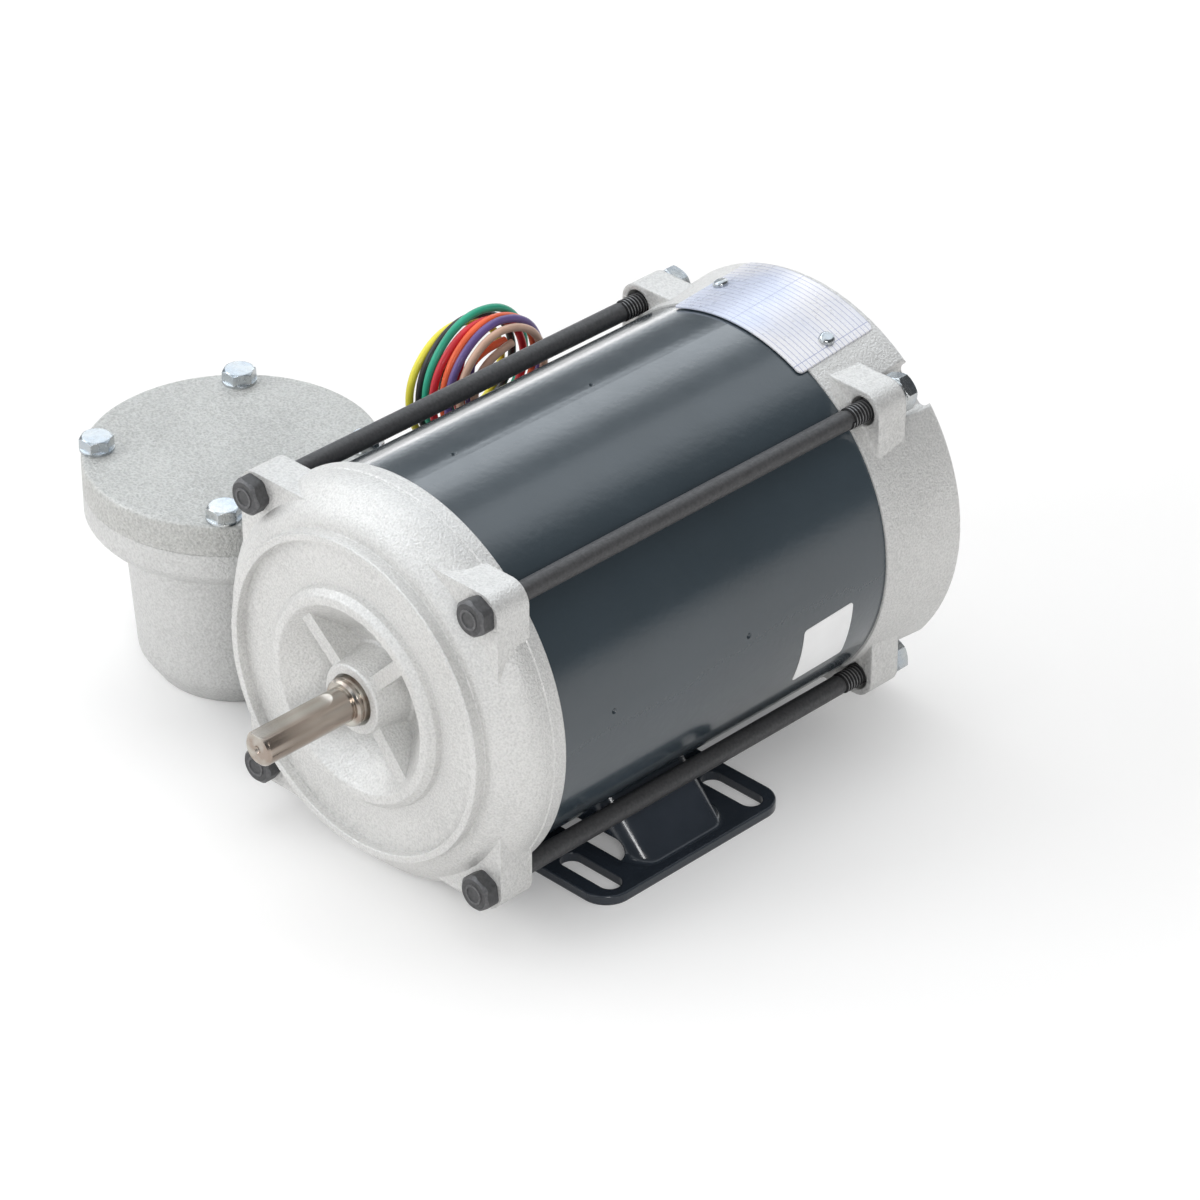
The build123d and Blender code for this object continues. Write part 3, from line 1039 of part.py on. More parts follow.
def conduit_box_cover():
    spigot = BOX_TOP_RADIUS - BOX_WALL - 2
    cover = turned_upright([
        (0, COVER_UNDERSIDE - COVER_SPIGOT_LENGTH), (spigot, COVER_UNDERSIDE - COVER_SPIGOT_LENGTH),
        (spigot, COVER_UNDERSIDE), (COVER_RADIUS, COVER_UNDERSIDE), (COVER_RADIUS, BOX_HEIGHT),
        (0, BOX_HEIGHT)], {4: COVER_EDGE_ROUND})
    hole = Cylinder(COVER_BOLT_RADIUS + COVER_BOLT_CLEARANCE, 2 * COVER_THICKNESS)
    return in_box_place(cover - cover_bolt_sites(Pos(0, 0, BOX_HEIGHT) * hole))


def conduit_cover_bolts():
    seat = BOX_HEIGHT
    corner = COVER_HEX_ACROSS_FLATS / math.sqrt(3)
    head_top = COVER_WASHER_THICKNESS + COVER_HEAD_HEIGHT
    head = extrude(hexagon(COVER_HEX_ACROSS_FLATS), head_top)
    head &= turned_upright([
        (0, 0), (corner, 0), (corner, head_top - COVER_HEX_CHAMFER),
        (corner - 1.5 * COVER_HEX_CHAMFER, head_top), (0, head_top)])
    head += Pos(0, 0, COVER_WASHER_THICKNESS / 2) * Cylinder(COVER_WASHER_RADIUS, COVER_WASHER_THICKNESS)
    shank_bar = Cylinder(COVER_BOLT_RADIUS - PRESS_CLEARANCE, COVER_BOLT_LENGTH)
    shank = Pos(0, 0, -COVER_BOLT_LENGTH / 2) * shank_bar
    return [in_box_place(s) for s in cover_bolt_sites(Pos(0, 0, seat) * (head + shank))]


def conduit_ground_screw():
    head = turned_upright([
        (0, 0), (GROUND_SCREW_HEAD_RADIUS, 0), (GROUND_SCREW_HEAD_RADIUS, GROUND_SCREW_HEAD_HEIGHT),
        (0, GROUND_SCREW_HEAD_HEIGHT)], {2: 1})
    shank = Pos(0, 0, 0.5 - GROUND_SCREW_LENGTH / 2) * Cylinder(
        GROUND_SCREW_RADIUS - PRESS_CLEARANCE, GROUND_SCREW_LENGTH - 1)
    return in_box_place(Pos(GROUND_SCREW_OFFSET, 0, BOX_FLOOR) * (head + shank))


# Leads

def lead(route):
    """A lead along its route, each corner as round as its two runs allow."""
    seal = Vector(-LEAD_SEAL_FACE, LEAD_HUB_Y, SHAFT_HEIGHT)
    points = [seal + Vector(*p) for p in route]
    runs = [b - a for a, b in zip(points, points[1:])]
    radii = [
        0.45 * min(one.length, two.length) / math.tan(math.radians(one.get_angle(two) / 2))
        for one, two in zip(runs, runs[1:])
    ]
    path = FilletPolyline(*points, radius=radii)
    tube = sweep(Plane(path @ 0, z_dir=path % 0) * Circle(LEAD_DIAMETER / 2), path)
    section = math.pi * LEAD_DIAMETER ** 2 / 4
    print("  radii", [round(r, 1) for r in radii], "length", round(path.length, 1),
          "volume / section x length", round(tube.volume / (section * path.length), 4))
    return tube


ABOUT_THE_SHAFT = {
    "frame_shell": frame_shell,
    "front_endshield": front_endshield,
    "rear_endshield": rear_endshield,
    "lead_bushing": lead_bushing,
    "through_bolts": through_bolts,
    "lock_washers": lock_washers,
    "through_bolt_nuts": through_bolt_nuts,
    "nameplate": nameplate,
    "nameplate_screws": nameplate_screws,
    "serial_label": serial_label,
    "stator_core": stator_core,
    "stator_winding": stator_winding,
    "thermal_protector": thermal_protector,
    "rotor_shaft": rotor_shaft,
    "rotor_core": rotor_core,
    "squirrel_cage": squirrel_cage,
    "front_bearing_outer_ring": lambda: at_front_bearing([bearing_outer_ring()]),
    "front_bearing_inner_ring": lambda: at_front_bearing([bearing_inner_ring()]),
    "front_bearing_cage": lambda: at_front_bearing([bearing_cage()]),
    "front_bearing_balls": lambda: at_front_bearing(bearing_balls()),
    "rear_bearing_outer_ring": lambda: at_rear_bearing([bearing_outer_ring()]),
    "rear_bearing_inner_ring": lambda: at_rear_bearing([bearing_inner_ring()]),
    "rear_bearing_cage": lambda: at_rear_bearing([bearing_cage()]),
    "rear_bearing_balls": lambda: at_rear_bearing(bearing_balls()),
    "bearing_preload_spring": preload_spring,
    "bearing_cap": bearing_cap,
    "bearing_cap_screws": bearing_cap_screws,
    "governor_hub": governor_hub,
    "governor_weight_upper": governor_weight,
    "governor_weight_lower": lambda: around([180], governor_weight()),
    "governor_collar": governor_collar,
    "start_switch_board": start_switch_board,
    "start_switch_arm": start_switch_arm,
    "switch_terminals": switch_terminals,
    "switch_board_screws": switch_board_screws,
}

ON_THE_FLOOR = {
    "mounting_base": mounting_base,
    "conduit_box_body": conduit_box_body,
    "conduit_box_cover": conduit_box_cover,
    "conduit_cover_bolts": conduit_cover_bolts,
    "conduit_ground_screw": conduit_ground_screw,
}


def save(name, shapes, lift=0.0):
    """Write one sub-part, with each of its solids lifted into place."""
    shapes = shapes if isinstance(shapes, list) else [shapes]
    solids = [Pos(0, 0, lift) * solid for shape in shapes for solid in shape.solids()]
    export_step(Compound(solids), f"parts/{name}.step")
    print(name, len(solids))


os.makedirs("parts", exist_ok=True)
for part_name, make in ABOUT_THE_SHAFT.items():
    save(part_name, make(), SHAFT_HEIGHT)
for part_name, make in ON_THE_FLOOR.items():
    save(part_name, make())
for part_name, lead_route in LEAD_ROUTES.items():
    save(part_name, lead(lead_route))
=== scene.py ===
"""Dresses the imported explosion-proof motor: cords, castings, paint, fasteners, inner works."""

import math

import bmesh
import bpy
from mathutils import Matrix, Vector


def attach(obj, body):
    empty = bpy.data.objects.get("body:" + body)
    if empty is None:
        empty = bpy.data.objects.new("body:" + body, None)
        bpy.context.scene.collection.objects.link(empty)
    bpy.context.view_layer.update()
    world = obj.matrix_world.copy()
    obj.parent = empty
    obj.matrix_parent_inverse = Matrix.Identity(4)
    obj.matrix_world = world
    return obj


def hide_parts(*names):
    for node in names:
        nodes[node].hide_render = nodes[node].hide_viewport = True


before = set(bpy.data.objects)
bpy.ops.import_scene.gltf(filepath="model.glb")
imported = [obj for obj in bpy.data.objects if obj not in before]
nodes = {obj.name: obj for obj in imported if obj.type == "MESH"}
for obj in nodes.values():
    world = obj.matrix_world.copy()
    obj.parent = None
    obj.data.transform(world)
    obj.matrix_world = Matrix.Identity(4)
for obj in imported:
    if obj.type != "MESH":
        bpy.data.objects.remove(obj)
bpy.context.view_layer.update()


# Camera
# It stands where the photograph was taken, above the drive end and to the right of it,
# with a long lens. The foot's slots, the shaft and the bolts gave its place.
camera_azimuth, camera_elevation, camera_roll = 44.864, 32.234, -0.124
camera_distance = 1.786
focal_pixels = 5180.0
photo_pixels = 1200.0
shaft_height = 0.0762
aim_right, aim_down = 0.016988, 0.002334

azimuth = math.radians(camera_azimuth)
elevation = math.radians(camera_elevation)
back = Vector((math.sin(azimuth) * math.cos(elevation),
               -math.cos(azimuth) * math.cos(elevation), math.sin(elevation)))
right = Vector((math.cos(azimuth), math.sin(azimuth), 0))
up = back.cross(right)
roll = Matrix.Rotation(math.radians(camera_roll), 3, back)
right, up = roll @ right, roll @ up
target = Vector((0, 0, shaft_height)) + right * aim_right - up * aim_down

lens = bpy.data.cameras.new("camera")
lens.sensor_width = 36.0
lens.lens = focal_pixels / photo_pixels * lens.sensor_width
lens.clip_start, lens.clip_end = 0.05, 40.0
camera = bpy.data.objects.new("camera", lens)
camera.matrix_world = Matrix.Translation(target + back * camera_distance) @ Matrix(
    (right, up, back)).transposed().to_4x4()
bpy.context.scene.collection.objects.link(camera)
bpy.context.scene.camera = camera


# Leads
# Seven stranded copper leads in coloured plastic insulation leave the potted seal in the lead hub,
# bend back along the shell and are wound loosely once or twice, each a little differently.
# Each route is in millimetres from the middle of the seal's face.
lead_diameter = 0.003
seal_face = Vector((-0.074, 0.112, shaft_height))
millimetre = 0.001
lead_routes = {
    "lead_tan": [
        (0, -4.2, 0), (-10, -4.2, 0), (-18, -12.5, 0), (-18, -29, -5.2), (-18, -49, -7.2),
        (-18, -66, 6.8), (-18, -67, 28.8), (-18, -50, 42.8), (-18, -29, 36.8), (-18, -22, 17.8),
        (-18, -33, 2.8), (-18, -52, 2.8), (-18, -61, 16.8), (-18, -55, 31.8), (-18, -40, 33.8),
    ],
    "lead_purple": [
        (0, -2.1, 3.6), (-11, -2.1, 3.6), (-21.5, -13, 3.6), (-21.5, -29, -3.2),
        (-21.5, -50, -8.2), (-21.5, -69, 4.8), (-21.5, -69, 28.8), (-21.5, -50, 44.8),
        (-21.5, -28, 38.8), (-21.5, -20, 18.8), (-21.5, -31, 1.8), (-21.5, -51, 1.8),
        (-21.5, -61, 14.8), (-21.5, -57, 30.8),
    ],
    "lead_orange": [
        (0, -2.1, -3.6), (-13, -2.1, -3.6), (-25, -14.5, -3.6), (-25, -32, -9.2), (-25, -53, -7.2),
        (-25, -69, 7.8), (-25, -67, 30.8), (-25, -48, 44.8), (-25, -26, 36.8), (-25, -20, 15.8),
        (-25, -33, -0.2), (-25, -52, 2.8), (-25, -60, 17.8), (-25, -52, 31.8), (-25, -37, 30.8),
    ],
    "lead_red": [
        (0, 0, 0), (-15, 0, 0), (-28.5, -14, 0), (-28.5, -31, -7.2), (-28.5, -52, -10.2),
        (-28.5, -70, 3.8), (-28.5, -70, 27.8), (-28.5, -51, 42.8), (-28.5, -29, 35.8),
        (-28.5, -22, 15.8), (-28.5, -33, -0.2), (-28.5, -52, 0.8), (-28.5, -61, 14.8),
        (-28.5, -55, 29.8),
    ],
    "lead_green": [
        (0, 2.1, 3.6), (-16, 2.1, 3.6), (-32, -13.5, 3.6), (-32, -28, -5.2), (-32, -49, -11.2),
        (-32, -69, 1.8), (-32, -71, 25.8), (-32, -53, 43.8), (-32, -29, 40.8), (-32, -18, 20.8),
        (-32, -27, 0.8), (-32, -47, -2.2), (-32, -60, 10.8), (-32, -58, 28.8), (-32, -42, 34.8),
    ],
    "lead_black": [
        (0, 2.1, -3.6), (-18, 2.1, -3.6), (-35.5, -15, -3.6), (-35.5, -33, -10.2),
        (-35.5, -55, -10.2), (-35.5, -71, 4.8), (-35.5, -69, 27.8), (-35.5, -50, 41.8),
        (-35.5, -28, 34.8), (-35.5, -21, 14.8), (-35.5, -33, -1.2), (-35.5, -52, 0.8),
        (-35.5, -61, 14.8), (-35.5, -54, 29.8),
    ],
    "lead_yellow": [
        (0, 4.2, 0), (-20, 4.2, 0), (-39, -14, 0), (-39, -30, -9.2), (-39, -51, -14.2),
        (-39, -70, -1.2), (-39, -73, 21.8), (-39, -56, 37.8), (-39, -33, 33.8), (-39, -23, 14.8),
        (-39, -33, -2.2), (-39, -52, -1.2), (-39, -62, 12.8), (-39, -55, 26.8),
    ],
}
lead_colors = {
    "lead_tan": (0.62, 0.40, 0.30), "lead_purple": (0.13, 0.085, 0.27),
    "lead_orange": (0.85, 0.13, 0.04), "lead_red": (0.60, 0.02, 0.035),
    "lead_green": (0.02, 0.37, 0.23), "lead_black": (0.02, 0.02, 0.022),
    "lead_yellow": (0.88, 0.80, 0.07),
}


def new_finish(name, color, metallic, roughness):
    """A material, with its node tree and its shader for the functions below."""
    material = bpy.data.materials.new(name)
    material.use_nodes = True
    tree = material.node_tree
    shader = tree.nodes["Principled BSDF"]
    shader.inputs["Base Color"].default_value = (*color, 1)
    shader.inputs["Metallic"].default_value = metallic
    shader.inputs["Roughness"].default_value = roughness
    return material, tree, shader


def noise(tree, scale, detail=3.0, stretch=(1, 1, 1)):
    """Noise over the object's own coordinates, finer along an axis where stretch is larger."""
    place = tree.nodes.new("ShaderNodeTexCoord")
    mapping = tree.nodes.new("ShaderNodeMapping")
    mapping.inputs["Scale"].default_value = stretch
    texture = tree.nodes.new("ShaderNodeTexNoise")
    texture.inputs["Scale"].default_value = scale
    texture.inputs["Detail"].default_value = detail
    tree.links.new(place.outputs["Object"], mapping.inputs["Vector"])
    tree.links.new(mapping.outputs["Vector"], texture.inputs["Vector"])
    return texture.outputs["Fac"]


def vary_color(tree, shader, value, low, high, span=(0.3, 0.7)):
    """Takes the base colour from low to high as a noise value rises over span."""
    ramp = tree.nodes.new("ShaderNodeValToRGB")
    ramp.color_ramp.elements[0].position, ramp.color_ramp.elements[1].position = span
    ramp.color_ramp.elements[0].color = (*low, 1)
    ramp.color_ramp.elements[1].color = (*high, 1)
    tree.links.new(value, ramp.inputs["Fac"])
    tree.links.new(ramp.outputs["Color"], shader.inputs["Base Color"])
    return ramp


def vary_roughness(tree, shader, value, low, high):
    """Takes the roughness from low to high as a noise value rises over its middle."""
    span = tree.nodes.new("ShaderNodeMapRange")
    span.inputs["From Min"].default_value, span.inputs["From Max"].default_value = 0.3, 0.7
    span.inputs["To Min"].default_value, span.inputs["To Max"].default_value = low, high
    tree.links.new(value, span.inputs["Value"])
    tree.links.new(span.outputs["Result"], shader.inputs["Roughness"])


def relief(tree, shader, value, depth, strength=1.0, rounded=0.0):
    """Bumps of a depth in metres, over edges that look rounded by a radius in metres."""
    bump = tree.nodes.new("ShaderNodeBump")
    bump.inputs["Strength"].default_value = strength
    bump.inputs["Distance"].default_value = depth
    tree.links.new(value, bump.inputs["Height"])
    if rounded:
        edge = tree.nodes.new("ShaderNodeBevel")
        edge.samples = 6
        edge.inputs["Radius"].default_value = rounded
        tree.links.new(edge.outputs["Normal"], bump.inputs["Normal"])
    tree.links.new(bump.outputs["Normal"], shader.inputs["Normal"])


for lead, route in lead_routes.items():
    points = [seal_face + Vector(step) * millimetre for step in route]
    curve = bpy.data.curves.new(lead + "_cord", "CURVE")
    curve.dimensions = "3D"
    curve.bevel_depth = lead_diameter / 2
    curve.bevel_resolution = 4
    curve.use_fill_caps = True
    curve.resolution_u = 10
    spline = curve.splines.new("NURBS")
    spline.points.add(len(points) - 1)
    for control, point in zip(spline.points, points):
        control.co = (*point, 1)
    spline.order_u = 3
    spline.use_endpoint_u = True
    cord = bpy.data.objects.new(lead + "_cord", curve)
    bpy.context.scene.collection.objects.link(cord)

    color = lead_colors[lead]
    darker, lighter = [c * 0.82 for c in color], [min(1, c * 1.1) for c in color]
    insulation, tree, shader = new_finish(lead + "_insulation", color, 0.0, 0.38)
    vary_color(tree, shader, noise(tree, 90), darker, lighter)
    vary_roughness(tree, shader, noise(tree, 240), 0.3, 0.46)
    relief(tree, shader, noise(tree, 900, 2), 0.00004)
    shader.inputs["Coat Weight"].default_value = 0.15
    curve.materials.append(insulation)

    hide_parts(lead)
    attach(cord, "housing")


# Cast endshields, conduit box and bearing cap
# Aluminium poured in fine sand and left as cast: an even pale grey with a fine grain, duller in
# broad faint patches, with edges that the sand leaves a little round.
def blend_noise(tree, first, second, share):
    """Two noise values in one, with a share of the second."""
    mix = tree.nodes.new("ShaderNodeMix")
    mix.inputs["Factor"].default_value = share
    tree.links.new(first, mix.inputs["A"])
    tree.links.new(second, mix.inputs["B"])
    return mix.outputs["Result"]


def cast_aluminium(name, pale=(0.78, 0.775, 0.76), grain=1300, depth=0.0004, rounded=0.0008,
                   contrast=0.2):
    """Sand-cast metal, its grain a noise scale, its dull spots darker than pale by contrast."""
    material, tree, shader = new_finish(name, pale, 0.5, 0.45)
    fine, broad = noise(tree, grain, 2), noise(tree, 32, 5)
    dull = [c * (1 - contrast) for c in pale]
    vary_color(tree, shader, blend_noise(tree, fine, broad, 0.25), dull, pale, (0.34, 0.60))
    vary_roughness(tree, shader, noise(tree, grain * 0.6, 2), 0.34, 0.6)
    relief(tree, shader, fine, depth, 1.0, rounded)
    return material


def dress(names, material):
    """Gives CAD nodes a material in place of the plain one they came with."""
    for name in names:
        for place in nodes[name].material_slots:
            place.material = material


dress(["front_endshield"], cast_aluminium("cast_front_endshield", rounded=0.0003))
dress(["rear_endshield"], cast_aluminium("cast_rear_endshield", rounded=0.0012))
dress(["bearing_cap"], cast_aluminium("cast_bearing_cap"))
dress(["conduit_box_body"],
      cast_aluminium("cast_box_body", pale=(0.70, 0.70, 0.69), grain=1100))
dress(["conduit_box_cover"],
      cast_aluminium("cast_box_cover", pale=(0.64, 0.64, 0.62), grain=1100, depth=0.0006,
                     contrast=0.3))


# Shell
# Steel tube, rolled and welded, painted in gloss slate grey, and staked to the stator inside
# it by round dimples.
def add_coat(shader, weight, roughness):
    """A clear gloss layer over the colour."""
    shader.inputs["Coat Weight"].default_value = weight
    shader.inputs["Coat Roughness"].default_value = roughness


paint, tree, shader = new_finish("shell_paint", (0.043, 0.058, 0.072), 0.0, 0.24)
vary_color(tree, shader, noise(tree, 14), (0.031, 0.044, 0.054), (0.039, 0.055, 0.068))
vary_roughness(tree, shader, noise(tree, 90, 4), 0.17, 0.26)
relief(tree, shader, noise(tree, 380, 2), 0.00014, 0.6)
add_coat(shader, 0.8, 0.12)
dress(["frame_shell"], paint)


# Foot
# One steel pressing: a plate with four slots and a saddle lanced up from it, painted in
# blue-black gloss that rounds its edges.
foot_paint, tree, shader = new_finish("foot_paint", (0.026, 0.032, 0.040), 0.0, 0.18)
vary_color(tree, shader, noise(tree, 30), (0.019, 0.025, 0.034), (0.029, 0.037, 0.050))
vary_roughness(tree, shader, noise(tree, 120, 4), 0.14, 0.26)
relief(tree, shader, noise(tree, 300, 3), 0.0001, 0.5, 0.0009)
add_coat(shader, 0.6, 0.1)
dress(["mounting_base"], foot_paint)


# Through bolts
# Long cold-headed steel bolts, phosphated dark grey: a hexagon with a raised ring on its face, a
# plain shank through both lugs, and a rolled thread at the nut end. Each bolt's place round the
# shell has the turn of its head beside it, both in degrees.
bolt_turns = {45: 42, 135: 68, 225: 22, 315: 51}
bolt_circle = 0.07672
bolt_shank_radius, bolt_thread_radius = 0.0036, 0.00397
bolt_head_flats, bolt_head_height = 0.0125, 0.0055
bolt_face_radius, bolt_corner_radius = 0.0056, 0.0068
bolt_corner_drop, bolt_corner_slope = 0.0002, 0.8
bolt_ring_profile = ((0.0038, 0), (0.0037, -0.0004), (0.0029, -0.0004), (0.0027, 0))
bolt_lighter_corner, bolt_lighter_depth = 0.0057, 0.0008
bolt_lighter_ring, bolt_lighter_height = (0.0028, 0.0038), 0.0001
bolt_head_seat, bolt_head_root = -0.0851, 0.001
bolt_fillet_radius, bolt_fillet_length = 0.0004, 0.0006
bolt_tip, bolt_tip_length, bolt_tip_taper = 0.1217, 0.0008, 0.0006
bolt_thread_length, bolt_thread_runout, bolt_thread_start = 0.033, 0.001, 0.0004
bolt_pitch, bolt_thread_depth, bolt_thread_sunk = 0.00141, 0.0008, 0.00006
bolt_crest = (0.34, 0.66)
bolt_thread_steps = 28
plain_steel, crest_steel, flank_steel, lighter_steel = range(4)


def corners_of(geometry):
    """The vertices among what a bmesh operator gives back."""
    return [part for part in geometry if isinstance(part, bmesh.types.BMVert)]


def faces_of(geometry):
    """The faces among what a bmesh operator gives back."""
    return [part for part in geometry if isinstance(part, bmesh.types.BMFace)]


def turn_about_y(bm, degrees):
    """Turns a whole bmesh about the Y axis."""
    bmesh.ops.rotate(bm, verts=bm.verts, cent=(0, 0, 0),
                     matrix=Matrix.Rotation(math.radians(degrees), 3, "Y"))


def add_form(bm, part):
    """Adds a finished bmesh to another one and frees it."""
    mesh = bpy.data.meshes.new("bolt_part")
    part.to_mesh(mesh)
    part.free()
    bm.from_mesh(mesh)
    bpy.data.meshes.remove(mesh)


def bolt_head(bm):
    """A hexagon whose front corners are turned down to a round face, with a raised ring on it."""
    front = bolt_head_seat - bolt_head_height
    side_turn = math.pi / 3
    outline = bmesh.ops.create_circle(bm, cap_ends=True, segments=48, radius=1)["verts"]
    bmesh.ops.rotate(bm, verts=outline, cent=(0, 0, 0),
                     matrix=Matrix.Rotation(math.radians(90), 3, "X"))
    for corner in outline:
        turn = math.atan2(corner.co.x, corner.co.z)
        from_flat = (turn + side_turn / 2) % side_turn - side_turn / 2
        reach = min(bolt_head_flats / 2 / math.cos(from_flat), bolt_corner_radius)
        corner.co = (reach * math.sin(turn), bolt_head_seat, reach * math.cos(turn))
    sides = bmesh.ops.extrude_face_region(bm, geom=list(bm.faces), use_keep_orig=True)["geom"]
    for corner in corners_of(sides):
        beyond = math.hypot(corner.co.x, corner.co.z) - bolt_face_radius
        corner.co.y = front + bolt_corner_drop + beyond * bolt_corner_slope
    face = faces_of(sides)
    for radius, step in ((bolt_face_radius, 0), *bolt_ring_profile):
        inner = bmesh.ops.extrude_face_region(bm, geom=face)["geom"]
        bmesh.ops.delete(bm, geom=face, context="FACES_ONLY")
        for corner in corners_of(inner):
            turn = math.atan2(corner.co.x, corner.co.z)
            corner.co = (radius * math.sin(turn), front + step, radius * math.cos(turn))
        face = faces_of(inner)
    # The head's turned-down corners and the top of its ring get a lighter colour than its faces.
    for side in bm.faces:
        middle = side.calc_center_median()
        reach = math.hypot(middle.x, middle.z)
        on_corner = reach > bolt_lighter_corner and middle.y < front + bolt_lighter_depth
        on_ring = (bolt_lighter_ring[0] < reach < bolt_lighter_ring[1]
                   and middle.y < front - bolt_lighter_height)
        if on_corner or on_ring:
            side.material_index = lighter_steel


def bolt_shank(bm):
    """Adds the shank, turned about Y from the fillet under the head to the tip."""
    inside_head = bolt_head_seat - bolt_head_root
    root = bolt_thread_radius - bolt_thread_depth
    thread_start = bolt_tip - bolt_thread_length
    profile = [
        (inside_head, 0), (inside_head, bolt_shank_radius + bolt_fillet_radius),
        (bolt_head_seat, bolt_shank_radius + bolt_fillet_radius),
        (bolt_head_seat + bolt_fillet_length, bolt_shank_radius),
        (thread_start, bolt_shank_radius), (thread_start + bolt_thread_runout, root),
        (bolt_tip - bolt_tip_length, root), (bolt_tip, root - bolt_tip_taper), (bolt_tip, 0)]
    corners = [bm.verts.new((0, y, radius)) for y, radius in profile]
    edges = [bm.edges.new(pair) for pair in zip(corners, corners[1:])]
    bmesh.ops.spin(bm, geom=corners + edges, cent=(0, 0, 0), axis=(0, 1, 0), angle=math.tau,
                   steps=32, use_merge=True)
    bmesh.ops.remove_doubles(bm, verts=bm.verts, dist=1e-7)


def bolt_thread():
    """The thread by itself, one ridge swept round the tip as a long helix."""
    bm = bmesh.new()
    sunk = bolt_thread_radius - bolt_thread_depth - bolt_thread_sunk
    start = bolt_tip - bolt_thread_length + bolt_thread_start
    turns = int((bolt_thread_length - bolt_tip_length) / bolt_pitch) - 1
    ridge = [(0, sunk), (bolt_crest[0], bolt_thread_radius), (bolt_crest[1], bolt_thread_radius),
             (1, sunk)]
    points = [bm.verts.new((0, start + part * bolt_pitch, radius)) for part, radius in ridge]
    edges = [bm.edges.new(pair) for pair in zip(points, points[1:])]
    bmesh.ops.spin(bm, geom=points + edges, cent=(0, 0, 0), axis=(0, 1, 0),
                   angle=math.tau * turns, steps=bolt_thread_steps * turns,
                   dvec=(0, bolt_pitch / bolt_thread_steps, 0))
    bmesh.ops.remove_doubles(bm, verts=bm.verts, dist=2e-6)
    bmesh.ops.holes_fill(bm, edges=[edge for edge in bm.edges if edge.is_boundary], sides=0)
    bmesh.ops.triangulate(bm, faces=[face for face in bm.faces if len(face.verts) > 4])
    crest_radius = bolt_thread_radius - 1e-5
    for face in bm.faces:
        on_crest = all(math.hypot(v.co.x, v.co.z) > crest_radius for v in face.verts)
        face.material_index = crest_steel if on_crest else flank_steel
    return bm


dark_steel, tree, shader = new_finish("phosphated_steel", (0.075, 0.075, 0.078), 0.3, 0.5)
vary_color(tree, shader, noise(tree, 900, 3), (0.062, 0.062, 0.064), (0.092, 0.092, 0.095))
vary_roughness(tree, shader, noise(tree, 700, 3), 0.42, 0.58)
relief(tree, shader, noise(tree, 1400, 3, (1, 0.15, 1)), 0.00005, 0.6, 0.0003)
# The thread's crests get a lighter grey and its flanks a near black, against the shank's dark
# grey.
thread_crests, tree, shader = new_finish("lighter_thread_crests", (0.22, 0.22, 0.225), 0.6, 0.32)
vary_roughness(tree, shader, noise(tree, 800, 2), 0.25, 0.4)
thread_flanks, tree, shader = new_finish("black_thread_flanks", (0.018, 0.018, 0.019), 0.2, 0.6)
vary_roughness(tree, shader, noise(tree, 800, 2), 0.5, 0.7)
# A lighter grey for the head's corners and ring top.
lighter_edges, tree, shader = new_finish("lighter_head_edges", (0.125, 0.125, 0.128), 0.45, 0.42)
vary_color(tree, shader, noise(tree, 900, 3), (0.095, 0.095, 0.098), (0.16, 0.16, 0.165))

bolts_bm = bmesh.new()
for place, head_turn in bolt_turns.items():
    one = bmesh.new()
    bolt_head(one)
    bolt_shank(one)
    add_form(one, bolt_thread())
    turn_about_y(one, head_turn)
    bmesh.ops.translate(one, verts=one.verts, vec=(0, 0, bolt_circle))
    turn_about_y(one, place)
    bmesh.ops.translate(one, verts=one.verts, vec=(0, 0, shaft_height))
    add_form(bolts_bm, one)
bmesh.ops.recalc_face_normals(bolts_bm, faces=bolts_bm.faces)
for face in bolts_bm.faces:
    face.smooth = True
for edge in bolts_bm.edges:
    edge.smooth = edge.calc_face_angle(0) < math.radians(32)
bolts_mesh = bpy.data.meshes.new("through_bolt_set")
bolts_bm.to_mesh(bolts_mesh)
bolts_bm.free()
for material in (dark_steel, thread_crests, thread_flanks, lighter_edges):
    bolts_mesh.materials.append(material)
bolts = bpy.data.objects.new("through_bolt_set", bolts_mesh)
bpy.context.scene.collection.objects.link(bolts)
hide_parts("through_bolts")
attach(bolts, "housing")


# Zinc-plated hardware
# Nuts, lock washers, box bolts and the small screws: turned or pressed steel in bright zinc,
# which has a faint blue cast.
zinc, tree, shader = new_finish("bright_zinc", (0.70, 0.75, 0.78), 1.0, 0.24)
vary_color(tree, shader, noise(tree, 120, 2), (0.50, 0.55, 0.60), (0.61, 0.62, 0.61))
vary_roughness(tree, shader, noise(tree, 700, 3), 0.18, 0.3)
relief(tree, shader, noise(tree, 1300, 2), 0.00002, 0.5, 0.0004)
dress(["lock_washers", "through_bolt_nuts", "conduit_cover_bolts", "conduit_ground_screw",
       "nameplate_screws", "bearing_cap_screws", "switch_board_screws"], zinc)


# Shaft
# Ground steel, its colour streaked along its length between dark brown and pale grey.
# Its own noise is drawn out along the shaft.
ground_steel, tree, shader = new_finish("ground_shaft", (0.56, 0.53, 0.48), 1.0, 0.24)
vary_color(tree, shader, noise(tree, 130, 2, (1, 0.03, 1)), (0.40, 0.33, 0.28),
           (0.58, 0.56, 0.51), (0.38, 0.56))
vary_roughness(tree, shader, noise(tree, 60, 2), 0.2, 0.27)
relief(tree, shader, noise(tree, 60, 2), 0.000001, 0.3, 0.0003)
dress(["rotor_shaft"], ground_steel)


